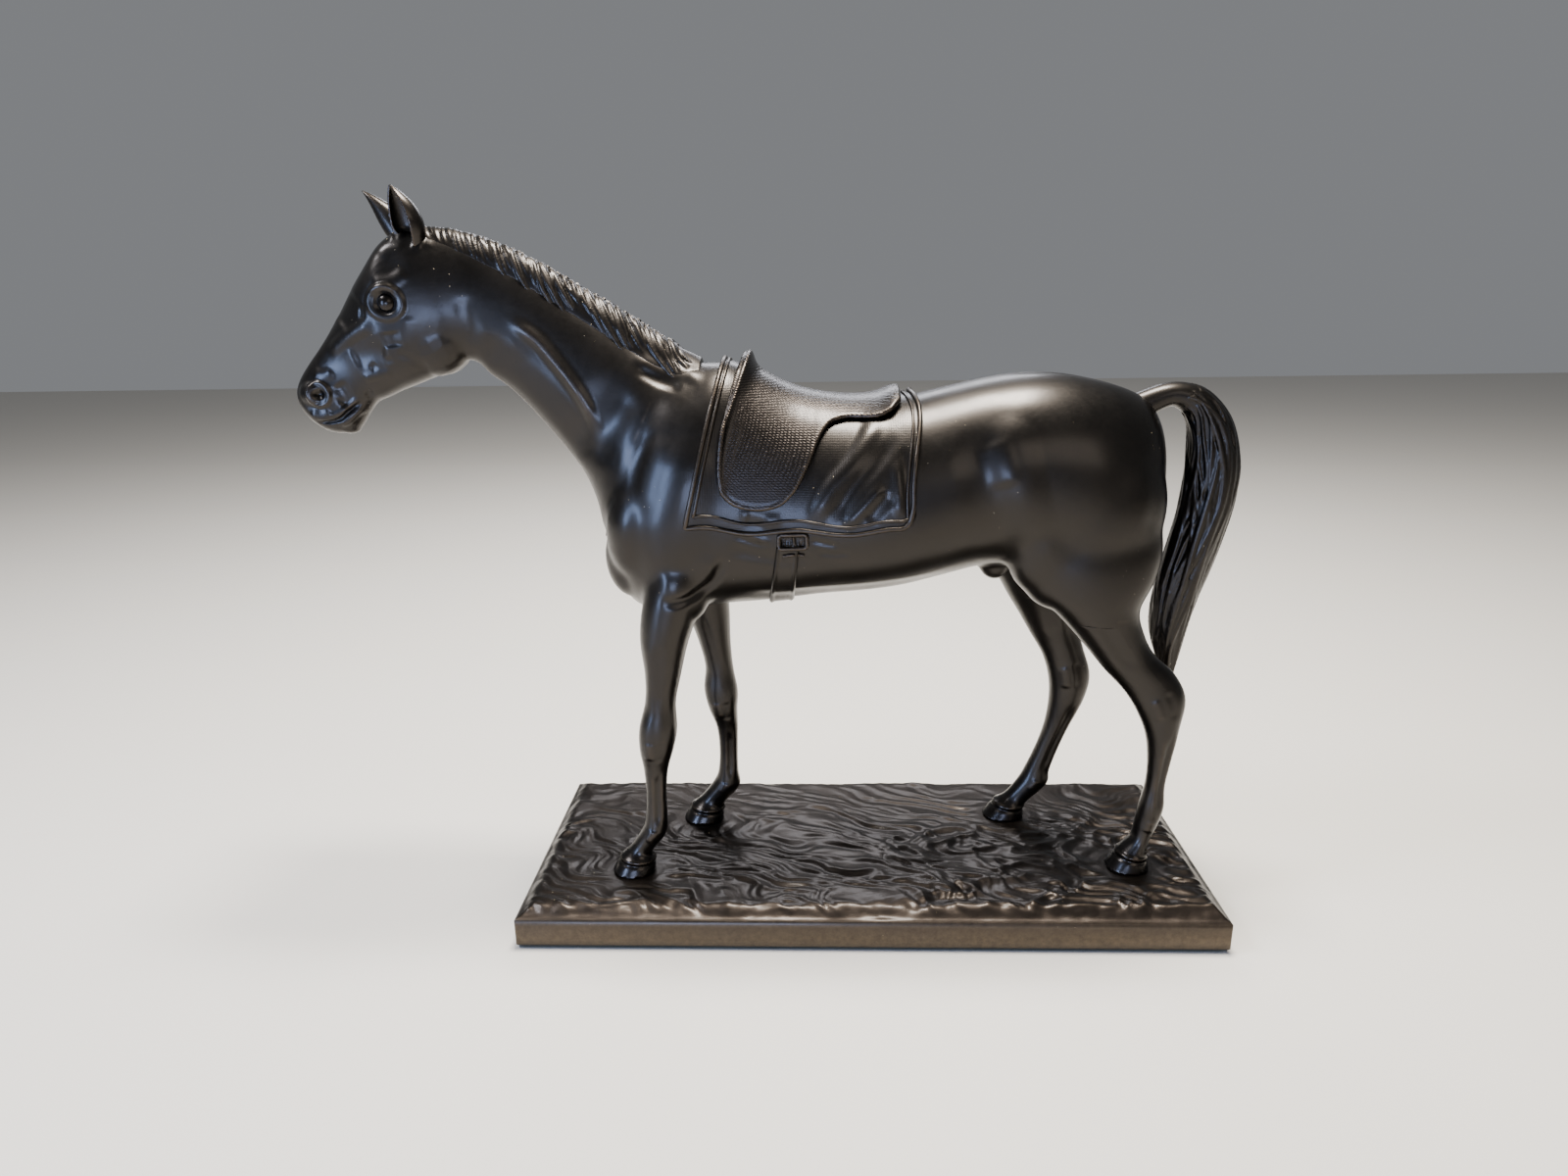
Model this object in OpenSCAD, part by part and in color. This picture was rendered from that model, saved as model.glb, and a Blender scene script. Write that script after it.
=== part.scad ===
// Standing saddled horse: a patinated bronze cast in pieces, on a hollow bronze plinth.
// The head points along -X and the horse's left side faces -Y.
// The origin is at the centre of the plinth's underside, on the surface it stands on.

/* [Overall] */
// Height of the withers above the modelled ground
withers_height = 251; // [210:1:320]
// Sideways place of the horse's middle plane on the plinth
horse_shift_y = -3; // [-8:1:8]

/* [Plinth] */
// Length of the plinth along the horse
plinth_length = 340; // [325:1:420]
// Width of the plinth across the horse
plinth_width = 140; // [120:1:190]
// Height of the plain vertical side, with the baize
plinth_side = 17; // [14:0.5:30]
// Rise of the bevel above the side, up to the ground
bevel_rise = 4; // [2:0.5:8]
// Width of the bevel around the ground
bevel_width = 8.5; // [5:0.5:14]
// Radius of the four upright corners
corner_radius = 3.5; // [2:0.5:8]
// Thickness of the plinth's walls and top
plinth_wall = 5; // [4:0.5:8]
// Height of the modelled waves of the ground
ground_relief = 1.1; // [0:0.1:2]
// Thickness of the baize under the plinth
baize_thickness = 1.5; // [1:0.1:3]

/* [Casting joints] */
// Wall of the hollow body casting
body_wall = 6; // [4:0.5:9]
// Wall of the hollow neck casting
neck_wall = 5; // [4:0.5:7]
// Outer diameter of the sleeve inside the neck joint
sleeve_diameter = 34; // [24:1:38]
// Wall of the sleeve
sleeve_wall = 4; // [2:0.5:6]
// Length of the sleeve, half of it in each casting
sleeve_length = 26; // [16:1:30]
// Diameter of the spigots on the forelegs
fore_spigot = 9; // [7:0.5:12]
// Diameter of the spigots on the hind legs
hind_spigot = 12; // [8:0.5:15]
// Diameter of the spigot on the tail
tail_spigot = 7; // [5:0.5:8]
// Diameter of the cross pins of the joints
pin_diameter = 3; // [2:0.5:4]
// Diameter of the plugs in the belly's core holes
plug_diameter = 10; // [6:0.5:14]
// Gap around spigots, sleeves, pins and plugs
fit_gap = 0.1; // [0.05:0.05:0.3]

/* [Hoof fixings] */
// Thread diameter of the hoof studs
stud_diameter = 5; // [4:0.5:6]
// Depth of the stud in the hoof
stud_depth = 7; // [5:0.5:8]
// Thickness of the washers
washer_thickness = 1; // [0.5:0.1:2]
// Thickness of the nuts
nut_thickness = 4; // [3:0.5:5]

/* [Saddlery] */
// Thickness of the saddle cloth
cloth_thickness = 1.8; // [1:0.1:3]
// Radius of the rolled binding at the cloth's edge
binding_radius = 1.3; // [0.8:0.1:2]
// Thickness of the saddle's flaps and seat
saddle_thickness = 2.6; // [1.5:0.1:5]
// Rise of the pommel above the seat
pommel_rise = 5; // [2:0.5:9]
// Rise of the cantle above the seat
cantle_rise = 2; // [0:0.5:6]
// Thickness of the girth strap
girth_thickness = 1.6; // [1:0.1:3]
// Width of the girth buckle's frame, along the horse
buckle_width = 16; // [12:0.5:22]
// Height of the girth buckle's frame
buckle_height = 8; // [6:0.5:11]
// Diameter of the rivets that hold the saddle on the back
rivet_diameter = 3; // [2:0.5:4]
// Gap between pieces that lie on each other
lay_gap = 0.2; // [0.1:0.05:0.4]

/* [Hidden] */

// The horse is drawn at a withers height of 251 mm, from the ground up, and scaled from there.
drawn_height = 251;
k = withers_height / drawn_height;
ground_z = plinth_side + bevel_rise;
drawn_ground = 21;
tiny = 0.01;
round_fn = 48;

// A station is [top x, top z, bottom x, bottom z, y, half width, height of the widest point
// as a share, squareness], where "top" is the front or the outer side on legs and tail.
// Body, from the neck joint back to the buttocks.
BODY = [
    [-88, 274, -126, 190, 0, 24, 0.48, 2.1],
    [-77, 272, -120, 168, 0, 32, 0.48, 2.1],
    [-66, 272, -110, 155, 0, 37, 0.48, 2.2],
    [-56, 268, -93, 154, 0, 38, 0.46, 2.2],
    [-45, 261.5, -70, 156, 0, 38, 0.45, 2.2],
    [-32, 256, -46, 158, 0, 39, 0.44, 2.15],
    [-17, 253, -22, 161, 0, 41, 0.43, 2.1],
    [0, 252.5, 0, 163, 0, 43, 0.43, 2.1],
    [18, 255.5, 18, 165.5, 0, 43, 0.44, 2.1],
    [36, 259.5, 36, 170, 0, 42.5, 0.46, 2.1],
    [54, 263.5, 54, 174.5, 0, 41, 0.47, 2.1],
    [72, 266, 72, 175, 0, 41, 0.48, 2.1],
    [88, 266, 88, 168, 0, 41, 0.5, 2.1],
    [103, 263.5, 103, 162, 0, 40, 0.5, 2.1],
    [117, 260, 117, 158, 0, 36, 0.5, 2.1],
    [129, 254, 129, 160, 0, 29, 0.52, 2.1],
    [136.5, 243, 134, 172, 0, 20, 0.55, 2],
    [141, 226, 138, 188, 0, 8, 0.5, 2],
];

// Head and neck, from the lips back to the neck joint, whose last section is the body's first.
NECK = [
    [-270.5, 257, -264, 246, 0, 5, 0.5, 2],
    [-270.5, 262, -257, 242, 0, 8.5, 0.5, 2.1],
    [-268, 267.5, -250, 241, 0, 9.5, 0.5, 2.2],
    [-263, 274, -243, 243.5, 0, 10, 0.5, 2.3],
    [-257, 281, -238, 250, 0, 9.8, 0.5, 2.3],
    [-251, 288.5, -233, 255.5, 0, 10.5, 0.5, 2.3],
    [-244, 298, -227, 258, 0, 12.5, 0.55, 2.4],
    [-237, 308, -220, 261, 0, 14.5, 0.6, 2.4],
    [-230, 317, -213, 263.5, 0, 16.5, 0.62, 2.4],
    [-222, 327, -205, 266.5, 0, 17, 0.6, 2.4],
    [-214, 332, -198, 269, 0, 16.5, 0.55, 2.3],
    [-205, 333, -192, 272, 0, 15.5, 0.5, 2.2],
    [-195, 332.5, -187, 274.5, 0, 14, 0.48, 2.1],
    [-184, 330, -182, 273, 0, 12.8, 0.48, 2],
    [-173, 325, -177, 268, 0, 12.5, 0.48, 2],
    [-160, 318, -169, 262, 0, 13, 0.48, 2],
    [-147, 310, -161, 254, 0, 14, 0.48, 2],
    [-133, 301, -152, 243.5, 0, 15.5, 0.48, 2],
    [-120, 293.5, -143, 232, 0, 17.5, 0.48, 2],
    [-108, 286, -135, 220, 0, 19.5, 0.48, 2],
    [-98, 280, -130, 207, 0, 22, 0.48, 2.05],
    BODY[0],
];

// Legs, from the sole up into the body. "Top" is the front of the leg.
LEFT_FORE = [
    [-129, 21, -107, 21, -29, 10.5, 0.5, 2.2],
    [-124, 29.5, -107, 27.5, -28.5, 8, 0.5, 2],
    [-119, 34.5, -108, 31.5, -28, 6, 0.5, 2],
    [-113, 43.5, -101, 41, -27.5, 6.6, 0.5, 2],
    [-111, 50, -100, 50, -27, 5.8, 0.5, 2],
    [-110, 62, -100, 62, -27, 5, 0.5, 2],
    [-110.5, 76, -98.5, 76, -27, 6, 0.5, 2],
    [-112, 88, -95, 88, -27, 8.5, 0.5, 2.2],
    [-111.5, 99, -93, 98, -27, 9, 0.5, 2.2],
    [-108, 113, -93, 112, -26.5, 8, 0.5, 2],
    [-107.5, 127, -90, 126, -26, 9.5, 0.5, 2],
    [-109, 143, -86, 142, -25, 12, 0.5, 2],
    [-108, 157, -81, 156, -23.5, 14, 0.5, 2],
    [-105, 172, -76, 172, -22, 15, 0.5, 2],
    [-100, 188, -80, 188, -20, 12, 0.5, 2],
];
RIGHT_FORE = [
    [-99, 21, -77, 21, 24.5, 10.5, 0.5, 2.2],
    [-94, 29.5, -76.5, 27.5, 24.5, 8, 0.5, 2],
    [-88.5, 34.5, -75.5, 31.5, 24.5, 6, 0.5, 2],
    [-82, 43, -67.5, 41, 24.5, 6.6, 0.5, 2],
    [-79, 50, -68, 50, 24.5, 5.8, 0.5, 2],
    [-78, 62, -68, 62, 24.5, 5, 0.5, 2],
    [-79, 76, -67.5, 76, 24.5, 6, 0.5, 2],
    [-83, 88, -67.5, 87, 24.5, 8.5, 0.5, 2.2],
    [-85, 99, -67, 97, 24.5, 9, 0.5, 2.2],
    [-84, 112, -69, 110, 24.5, 8, 0.5, 2],
    [-87, 126, -70, 124, 24.5, 9.5, 0.5, 2],
    [-92, 142, -70, 140, 24, 12, 0.5, 2],
    [-95, 157, -70, 155, 23, 14, 0.5, 2],
    [-96, 172, -68, 170, 22, 15, 0.5, 2],
    [-94, 188, -72, 186, 20, 12, 0.5, 2],
];
LEFT_HIND = [
    [121, 21, 143, 21, -24, 10.5, 0.5, 2.2],
    [127, 30.5, 141.5, 28, -24, 8, 0.5, 2],
    [133, 38, 142, 36, -24, 6.2, 0.5, 2],
    [134.5, 47, 145.5, 45, -24, 6, 0.5, 2],
    [136, 56, 147.5, 54, -24, 6.6, 0.5, 2],
    [138, 67, 147, 67, -24, 5.4, 0.5, 2],
    [138, 80, 149, 82, -24, 6.2, 0.5, 2],
    [136, 93, 151.5, 98, -24, 7.8, 0.5, 2.1],
    [131, 105, 153, 113, -24, 8.4, 0.5, 2.1],
    [124, 116, 147, 125, -24, 8, 0.5, 2],
    [113, 128, 136.5, 135, -24, 8.6, 0.5, 2],
    [103, 140, 130.5, 146, -23.5, 10.8, 0.5, 2],
    [90.5, 154, 128, 158, -23, 13.5, 0.5, 2],
    [76.5, 167, 134.5, 172, -21.5, 16.5, 0.5, 2.1],
    [66, 184, 137.5, 188, -19.5, 18, 0.5, 2.1],
    [74, 202, 134, 204, -17, 15.5, 0.5, 2],
];
RIGHT_HIND = [
    [67, 21, 90, 21, 29, 10.5, 0.5, 2.2],
    [74, 29.5, 90, 27.5, 28.5, 8, 0.5, 2],
    [80, 34.5, 93, 31.5, 28, 6, 0.5, 2],
    [86.5, 43.5, 102, 41, 28, 6.6, 0.5, 2],
    [90.5, 52, 103, 49.5, 28, 5.8, 0.5, 2],
    [95, 64, 106.5, 62, 27.5, 5.4, 0.5, 2],
    [98.5, 77, 112, 77, 27, 6.2, 0.5, 2],
    [100, 91, 118.5, 92, 26.5, 7.8, 0.5, 2.1],
    [99, 104, 120.5, 106, 26, 8.4, 0.5, 2.1],
    [95, 117, 116, 121, 25.5, 8, 0.5, 2],
    [88, 129, 112, 134, 25, 8.6, 0.5, 2],
    [81, 141, 113, 147, 24, 10.8, 0.5, 2],
    [73, 154, 120, 160, 22.5, 14, 0.5, 2],
    [66, 168, 128, 173, 21, 17, 0.5, 2.1],
    [64, 184, 136, 188, 19.5, 18.5, 0.5, 2.1],
    [74, 202, 132, 204, 18, 16, 0.5, 2],
];

// Tail, from inside the croup, over its arch and down. "Top" is the outer side.
TAIL = [
    [124, 255, 130, 243, 0, 6, 0.5, 2],
    [136, 259.5, 138, 248, 0, 6.2, 0.5, 2],
    [145, 260.5, 143, 249, 0, 6.6, 0.5, 2],
    [154, 258.5, 148, 245, 0, 7.4, 0.5, 2],
    [162, 253, 151, 238, 0, 8.2, 0.5, 2],
    [169, 244, 152, 229, 0, 8.8, 0.5, 2],
    [173.5, 232, 152, 218, 0, 9.3, 0.5, 2],
    [175.5, 218, 151, 207, 0, 9.6, 0.5, 2],
    [174, 203, 149.5, 194, 0, 9.6, 0.5, 2],
    [170.5, 188, 146.5, 180, 0, 9.2, 0.5, 2],
    [166.5, 172, 143.5, 166, 0, 8.6, 0.5, 2],
    [162, 156, 141.8, 152, 0, 7.6, 0.5, 2],
    [158, 140, 142.2, 139, 0, 6.2, 0.5, 2],
    [155.5, 125, 145.5, 127, 0, 4.2, 0.5, 2],
    [154, 111, 150, 112.5, 0, 1.8, 0.5, 2],
];

// Mane, from the poll back along the crest to the withers.
MANE = [
    [-206, 333.5, -205, 326, 0, 3, 0.5, 2],
    [-190, 333, -189, 325, 0, 5, 0.5, 2],
    [-175, 329, -174, 320, 0, 6, 0.5, 2],
    [-160, 323, -159, 313, 0, 6.5, 0.5, 2],
    [-144, 314, -142, 303, 0, 7, 0.5, 2],
    [-128, 304.5, -125, 293, 0, 7.5, 0.5, 2],
    [-112, 295, -108, 283, 0, 8.5, 0.5, 2],
    [-98, 286, -95, 275, 0, 9, 0.5, 2],
    [-87, 279, -84, 270, 0, 8, 0.5, 2],
    [-75, 273.5, -74, 267, 0, 3, 0.5, 2],
];

// Ears, from the root to the tip. "Top" is the open front of the ear.
LEFT_EAR = [
    [-213, 325, -199, 325, -8, 4.5, 0.4, 2],
    [-214, 334, -200, 333.5, -9.5, 5.5, 0.4, 2],
    [-214.5, 341, -202, 342, -10.3, 4.8, 0.4, 2],
    [-214.3, 346.5, -206.5, 347.5, -10.5, 2.8, 0.4, 2],
    [-213.2, 350.8, -211, 350.8, -10.5, 0.8, 0.5, 2],
];
RIGHT_EAR = [
    [-219, 325, -204, 325, 8, 4.5, 0.4, 2],
    [-226.5, 334, -210, 332.5, 9.5, 5.5, 0.4, 2],
    [-229.5, 341, -215.5, 341, 10.3, 4.8, 0.4, 2],
    [-231.5, 346.5, -223, 347, 10.5, 2.8, 0.4, 2],
    [-233.2, 350.5, -231, 350.5, 10.5, 0.8, 0.5, 2],
];

// Spigots: [x, y, diameter, height of the end, height of the cross pin], at the drawn size.
LEG_SPIGOTS = [
    [-92, -21, fore_spigot, 190, 180],
    [-83, 21, fore_spigot, 190, 180],
    [108, -19, hind_spigot, 212, 200],
    [104, 19, hind_spigot, 212, 200],
];
SPIGOT_FOOT = 150;
PIN_LENGTH = 18;

// Centres of the four hoof studs, at the drawn size.
STUDS = [[-117, -29], [-87, 24.5], [133, -24], [79.5, 29]];
stud_length = stud_depth + plinth_wall + washer_thickness + nut_thickness + 2;
pad_radius = 15;

// Saddlery edges. The cloth runs from CLOTH_FRONT to cloth_rear along the body's stations.
cloth_front_top = 1.85;
cloth_front_low = 2.55;
cloth_rear = 8.2;
cloth_edge_z = 201;
girth_front = 4.95;
girth_rear = 5.45;
girth_top_z = 196;
// Lower edge of the saddle's flap and skirt: [station, height].
SADDLE_EDGE = [
    [2.75, 262], [2.9, 240], [3.15, 226], [3.4, 217], [3.8, 212], [4.4, 210], [4.9, 212],
    [5.2, 218], [5.45, 228], [5.7, 239], [5.95, 244], [6.4, 246], [7.2, 246], [7.55, 248],
    [7.75, 251],
];
RIVET_STATIONS = [5.1, 6.9];
PLUG_X = [0, 48];
neck_void_first = 13;
body_void_first = 4;
body_void_last = 11;

function lift(p) = [p[0] * k, p[1] * k + horse_shift_y, ground_z + (p[2] - drawn_ground) * k];
function signed_pow(v, e) = v < 0 ? -pow(-v, e) : pow(v, e);

// Smooth value of a table of stations at a place between them.
function station(table, s) =
    let (
        last = len(table) - 1,
        i = max(0, min(floor(s), last - 1)),
        t = s - i,
        a = table[max(i - 1, 0)],
        b = table[i],
        c = table[i + 1],
        d = table[min(i + 2, last)]
    )
    (2 * b + (c - a) * t + (2 * a - 5 * b + 4 * c - d) * t * t + (3 * b - a - 3 * c + d) * t * t * t) / 2;

// Point of a section at an angle, with the section grown outwards by grow.
function on_ring(st, angle, grow = 0) =
    let (
        height = norm([st[0] - st[2], st[1] - st[3]]),
        up = [(st[0] - st[2]) / height, (st[1] - st[3]) / height],
        part = sin(angle) < 0 ? st[6] : 1 - st[6],
        across = (st[5] + grow / k) * signed_pow(cos(angle), 2 / st[7]),
        along = height * st[6] + (height * part + grow / k) * signed_pow(sin(angle), 2 / st[7])
    )
    lift([st[2] + up[0] * along, st[4] + across, st[3] + up[1] * along]);

// Angle at which the surface of a section reaches a height.
function angle_at(st, z) =
    let (
        share = (z - st[3]) / (st[1] - st[3]),
        reach = share < st[6] ? (share - st[6]) / st[6] : (share - st[6]) / (1 - st[6])
    )
    asin(signed_pow(max(-1, min(1, reach)), st[7] / 2));

// Solid through rings of points. The two end rings are closed off, each as one face or, on a
// layer whose ring runs out along one side and back along the other, as a strip of triangles.
module skin(rings, strip = false) {
    n = len(rings[0]);
    last = len(rings) - 1;
    sides = [
        for (i = [0:last - 1], j = [0:n - 1])
            each [
                [i * n + j, (i + 1) * n + j, (i + 1) * n + (j + 1) % n],
                [i * n + j, (i + 1) * n + (j + 1) % n, i * n + (j + 1) % n],
            ]
    ];
    plain_ends = [[for (j = [0:n - 1]) j], [for (j = [n - 1:-1:0]) last * n + j]];
    strip_ends = [
        for (j = [0:n / 2 - 2])
            each [
                [j, j + 1, n - 2 - j],
                [j, n - 2 - j, n - 1 - j],
                [last * n + n - 2 - j, last * n + j + 1, last * n + j],
                [last * n + n - 1 - j, last * n + n - 2 - j, last * n + j],
            ]
    ];
    polyhedron([for (r = rings) each r], concat(strip ? strip_ends : plain_ends, sides),
        convexity = 8);
}

// Solid through the stations of a table, from one place on it to another.
module cast_form(table, first, last, steps, points, grow = 0) {
    skin([
        for (i = [0:steps])
            let (st = station(table, first + (last - first) * i / steps))
            [for (j = [0:points - 1]) on_ring(st, 360 * j / points, grow)]
    ]);
}

// Layer lying on the body: columns are [station, start angle, end angle], from inner to outer.
module layer(columns, rows, inner, outer) {
    skin([
        for (c = columns)
            let (st = station(BODY, c[0]), turn = (c[2] - c[1]) / rows)
            concat(
                [for (j = [0:rows]) on_ring(st, c[1] + turn * j, outer(c[0], c[1] + turn * j))],
                [for (j = [rows:-1:0]) on_ring(st, c[1] + turn * j, inner)]
            )
    ], strip = true);
}

module pin_along_y(x, y, z, diameter, length) {
    translate(lift([x, y, z]))
        rotate([90, 0, 0])
        cylinder(h = length, d = diameter, center = true, $fn = round_fn);
}

module rounded_rect(length, width, radius) {
    square([length - 2 * radius, width], center = true);
    square([length, width - 2 * radius], center = true);
    for (sx = [-1, 1], sy = [-1, 1])
        translate([sx * (length / 2 - radius), sy * (width / 2 - radius)])
            circle(r = radius, $fn = round_fn);
}

// Plinth ------------------------------------------------------------------------------------

module baize_pad() {
    color("#1d1f1c")
        linear_extrude(baize_thickness)
        rounded_rect(plinth_length - 2, plinth_width - 2, corner_radius);
}

// Waves of the modelled ground, calm near the edge and flat under the hooves.
function hoof_calm(x, y) =
    min([for (s = STUDS) let (c = lift([s[0], s[1], 0]))
        max(0, min(1, (norm([x - c[0], y - c[1]]) - pad_radius) / 10))]);
function edge_calm(x, y, length, width) =
    max(0, min(1, min(length / 2 - abs(x), width / 2 - abs(y)) / 6));
function wave(x, y) =
    sin(5 * y + 40 * sin(2.1 * x)) * 0.6 + sin(7.3 * x + 9 * y) * 0.25 + sin(11 * x - 13 * y) * 0.15;

module ground() {
    length = plinth_length - 2 * bevel_width;
    width = plinth_width - 2 * bevel_width;
    nx = 44;
    ny = 16;
    under = plinth_side - 1;
    skin([
        for (i = [0:nx])
            let (x = length * (i / nx - 0.5))
            concat(
                [[x, width / 2, under]],
                [for (j = [0:ny])
                    let (y = width * (0.5 - j / ny))
                    [x, y, ground_z
                        + ground_relief * wave(x, y) * hoof_calm(x, y) * edge_calm(x, y, length, width)]],
                [[x, -width / 2, under]]
            )
    ]);
}

module bevel() {
    inner_l = plinth_length - 2 * bevel_width;
    inner_w = plinth_width - 2 * bevel_width;
    outer = [for (s = [[1, 1], [-1, 1], [-1, -1], [1, -1]])
        [s[0] * (plinth_length / 2 - 1), s[1] * (plinth_width / 2 - 1), plinth_side]];
    inner = [for (s = [[1, 1], [-1, 1], [-1, -1], [1, -1]])
        [s[0] * inner_l / 2, s[1] * inner_w / 2, ground_z]];
    polyhedron(concat(outer, inner), [[0, 1, 2, 3], [7, 6, 5, 4],
        for (i = [0:3]) [i, i + 4, (i + 1) % 4 + 4, (i + 1) % 4]], convexity = 2);
}

module stud_places() {
    for (s = STUDS) {
        c = lift([s[0], s[1], 0]);
        translate([c[0], c[1], 0]) children();
    }
}

module plinth_casting() {
    top = ground_z - plinth_wall;
    color("#2e2620")
        difference() {
            union() {
                translate([0, 0, baize_thickness])
                    linear_extrude(plinth_side - baize_thickness)
                    rounded_rect(plinth_length, plinth_width, corner_radius);
                bevel();
                ground();
            }
            translate([0, 0, baize_thickness - 1])
                linear_extrude(top - baize_thickness + 1)
                rounded_rect(plinth_length - 2 * plinth_wall, plinth_width - 2 * plinth_wall,
                    corner_radius);
            stud_places()
                translate([0, 0, top - 1])
                cylinder(h = plinth_wall + 4, d = stud_diameter + 2 * fit_gap, $fn = round_fn);
        }
}

module hoof_studs() {
    color("#b8904a")
        stud_places()
        translate([0, 0, ground_z + stud_depth - stud_length])
        cylinder(h = stud_length - fit_gap, d = stud_diameter, $fn = round_fn);
}

module stud_washers() {
    color("#b9bcc0")
        stud_places()
        translate([0, 0, ground_z - plinth_wall - washer_thickness])
        difference() {
            cylinder(h = washer_thickness, d = stud_diameter * 2, $fn = round_fn);
            translate([0, 0, -1])
                cylinder(h = washer_thickness + 2, d = stud_diameter + 2 * fit_gap, $fn = round_fn);
        }
}

module stud_nuts() {
    color("#c9a054")
        stud_places()
        translate([0, 0, ground_z - plinth_wall - washer_thickness - nut_thickness])
        difference() {
            cylinder(h = nut_thickness, d = stud_diameter * 1.85, $fn = 6);
            translate([0, 0, -1])
                cylinder(h = nut_thickness + 2, d = stud_diameter + 2 * fit_gap, $fn = round_fn);
        }
}

// Horse castings ------------------------------------------------------------------------------

body_steps = 34;
body_points = 28;

module body_form(grow = 0) {
    cast_form(BODY, 0, len(BODY) - 1, body_steps, body_points, grow);
}

module neck_form() {
    cast_form(NECK, 0, len(NECK) - 1, 42, 24);
}

// Axis of the neck joint: square to the last section of the neck.
joint_up = [BODY[0][0] - BODY[0][2], BODY[0][1] - BODY[0][3]] / norm([BODY[0][0] - BODY[0][2],
    BODY[0][1] - BODY[0][3]]);
joint_mid = [(BODY[0][0] + BODY[0][2]) / 2, (BODY[0][1] + BODY[0][3]) / 2];
joint_tilt = atan2(joint_up[0], joint_up[1]) - 90;
joint_pin_offset = sleeve_length / 4;

// Places children with +Z along the neck joint's axis, towards the head.
module at_neck_joint() {
    translate(lift([joint_mid[0], 0, joint_mid[1]]))
        rotate([0, joint_tilt, 0])
        children();
}

module neck_bore() {
    at_neck_joint()
        cylinder(h = sleeve_length + 2 * fit_gap, d = sleeve_diameter + 2 * fit_gap, center = true,
            $fn = round_fn);
}

module neck_pin_holes(gap) {
    at_neck_joint()
        for (side = [-1, 1])
            translate([0, 0, side * joint_pin_offset])
                rotate([90, 0, 0])
                cylinder(h = sleeve_diameter + 6, d = pin_diameter + 2 * gap, center = true,
                    $fn = round_fn);
}

module leg_pin_holes(gap) {
    for (s = LEG_SPIGOTS)
        pin_along_y(s[0], s[1], s[4], pin_diameter + 2 * gap, PIN_LENGTH + 2 * gap);
}

module leg_spigot(s, gap) {
    foot = lift([s[0], s[1], SPIGOT_FOOT]);
    head = lift([s[0], s[1], s[3]]);
    translate(foot)
        cylinder(h = head[2] - foot[2] + gap, d = s[2] + 2 * gap, $fn = round_fn);
}

tail_joint = [112, 0, 247];
tail_root = [137, 0, 253];
tail_tilt = atan2(tail_root[0] - tail_joint[0], tail_root[2] - tail_joint[2]);
tail_reach = norm(tail_root - tail_joint) * k;

module tail_spigot_form(gap) {
    translate(lift(tail_joint))
        rotate([0, tail_tilt, 0])
        translate([0, 0, -gap])
        cylinder(h = tail_reach + gap, d = tail_spigot + 2 * gap, $fn = round_fn);
}

module tail_pin_form(gap) {
    pin_along_y(tail_joint[0] + 6, 0, tail_joint[2] + 1.4, pin_diameter - 0.5 + 2 * gap, 20 + 2 * gap);
}

function saddle_top(s, a) =
    3 * lay_gap + cloth_thickness + saddle_thickness
    + pommel_rise * exp(-pow((s - 2.9) / 0.3, 2) - pow((a - 90) / 28, 2))
    + cantle_rise * exp(-pow((s - 7.65) / 0.35, 2) - pow((a - 90) / 45, 2));

module rivet_forms(gap) {
    for (s = RIVET_STATIONS) {
        st = station(BODY, s);
        top = on_ring(st, 90, saddle_top(s, 90))[2] - 0.6;
        foot = on_ring(st, 90, -body_wall)[2] + 0.6;
        middle = on_ring(st, 90, 0);
        translate([middle[0], middle[1], foot - gap])
            cylinder(h = top - foot + 2 * gap, d = rivet_diameter + 2 * gap, $fn = round_fn);
    }
}

module plug_forms(gap) {
    for (x = PLUG_X) {
        st = station(BODY, 7 + x / 18);
        foot = on_ring(st, 270, 0);
        translate([x * k, foot[1], foot[2] - 3 * gap])
            translate([0, 0, 0.6])
            cylinder(h = body_wall - 0.6 + 6 * gap, d = plug_diameter + 2 * gap, $fn = round_fn);
    }
}

module body_casting() {
    color("#2b231e")
        difference() {
            body_form();
            cast_form(BODY, body_void_first, body_void_last, 14, 20, -body_wall);
            neck_bore();
            neck_pin_holes(fit_gap);
            for (s = LEG_SPIGOTS) leg_spigot(s, fit_gap);
            leg_pin_holes(fit_gap);
            tail_spigot_form(fit_gap);
            tail_pin_form(fit_gap);
            rivet_forms(fit_gap);
            plug_forms(fit_gap);
        }
}

module neck_head_casting() {
    color("#2b231e")
        difference() {
            neck_form();
            cast_form(NECK, neck_void_first, len(NECK) - 1.4, 12, 16, -neck_wall);
            neck_bore();
            neck_pin_holes(fit_gap);
        }
}

module neck_sleeve() {
    color("#8a6a3a")
        difference() {
            at_neck_joint()
                cylinder(h = sleeve_length, d = sleeve_diameter, center = true, $fn = round_fn);
            at_neck_joint()
                cylinder(h = sleeve_length + 2, d = sleeve_diameter - 2 * sleeve_wall, center = true,
                    $fn = round_fn);
            neck_pin_holes(fit_gap);
        }
}

module neck_pins() {
    color("#a67c3d") neck_pin_holes(0);
}

module leg_pins() {
    color("#a67c3d") leg_pin_holes(0);
}

module tail_pin() {
    color("#a67c3d") tail_pin_form(0);
}

module saddle_rivets() {
    color("#a67c3d") rivet_forms(0);
}

module core_plugs() {
    color("#3a2d22") plug_forms(0);
}

module mane() {
    color("#332a22")
        difference() {
            cast_form(MANE, 0, len(MANE) - 1, 22, 14);
            neck_form();
            body_form();
        }
}

module ear(table) {
    color("#2b231e")
        difference() {
            cast_form(table, 0, len(table) - 1, 10, 14);
            translate([-2.6 * k, 0, 1.5 * k])
                cast_form(table, 1.2, len(table) - 1.6, 6, 10, -1.6);
            neck_form();
        }
}

module left_ear() {
    ear(LEFT_EAR);
}

module right_ear() {
    ear(RIGHT_EAR);
}

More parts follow.
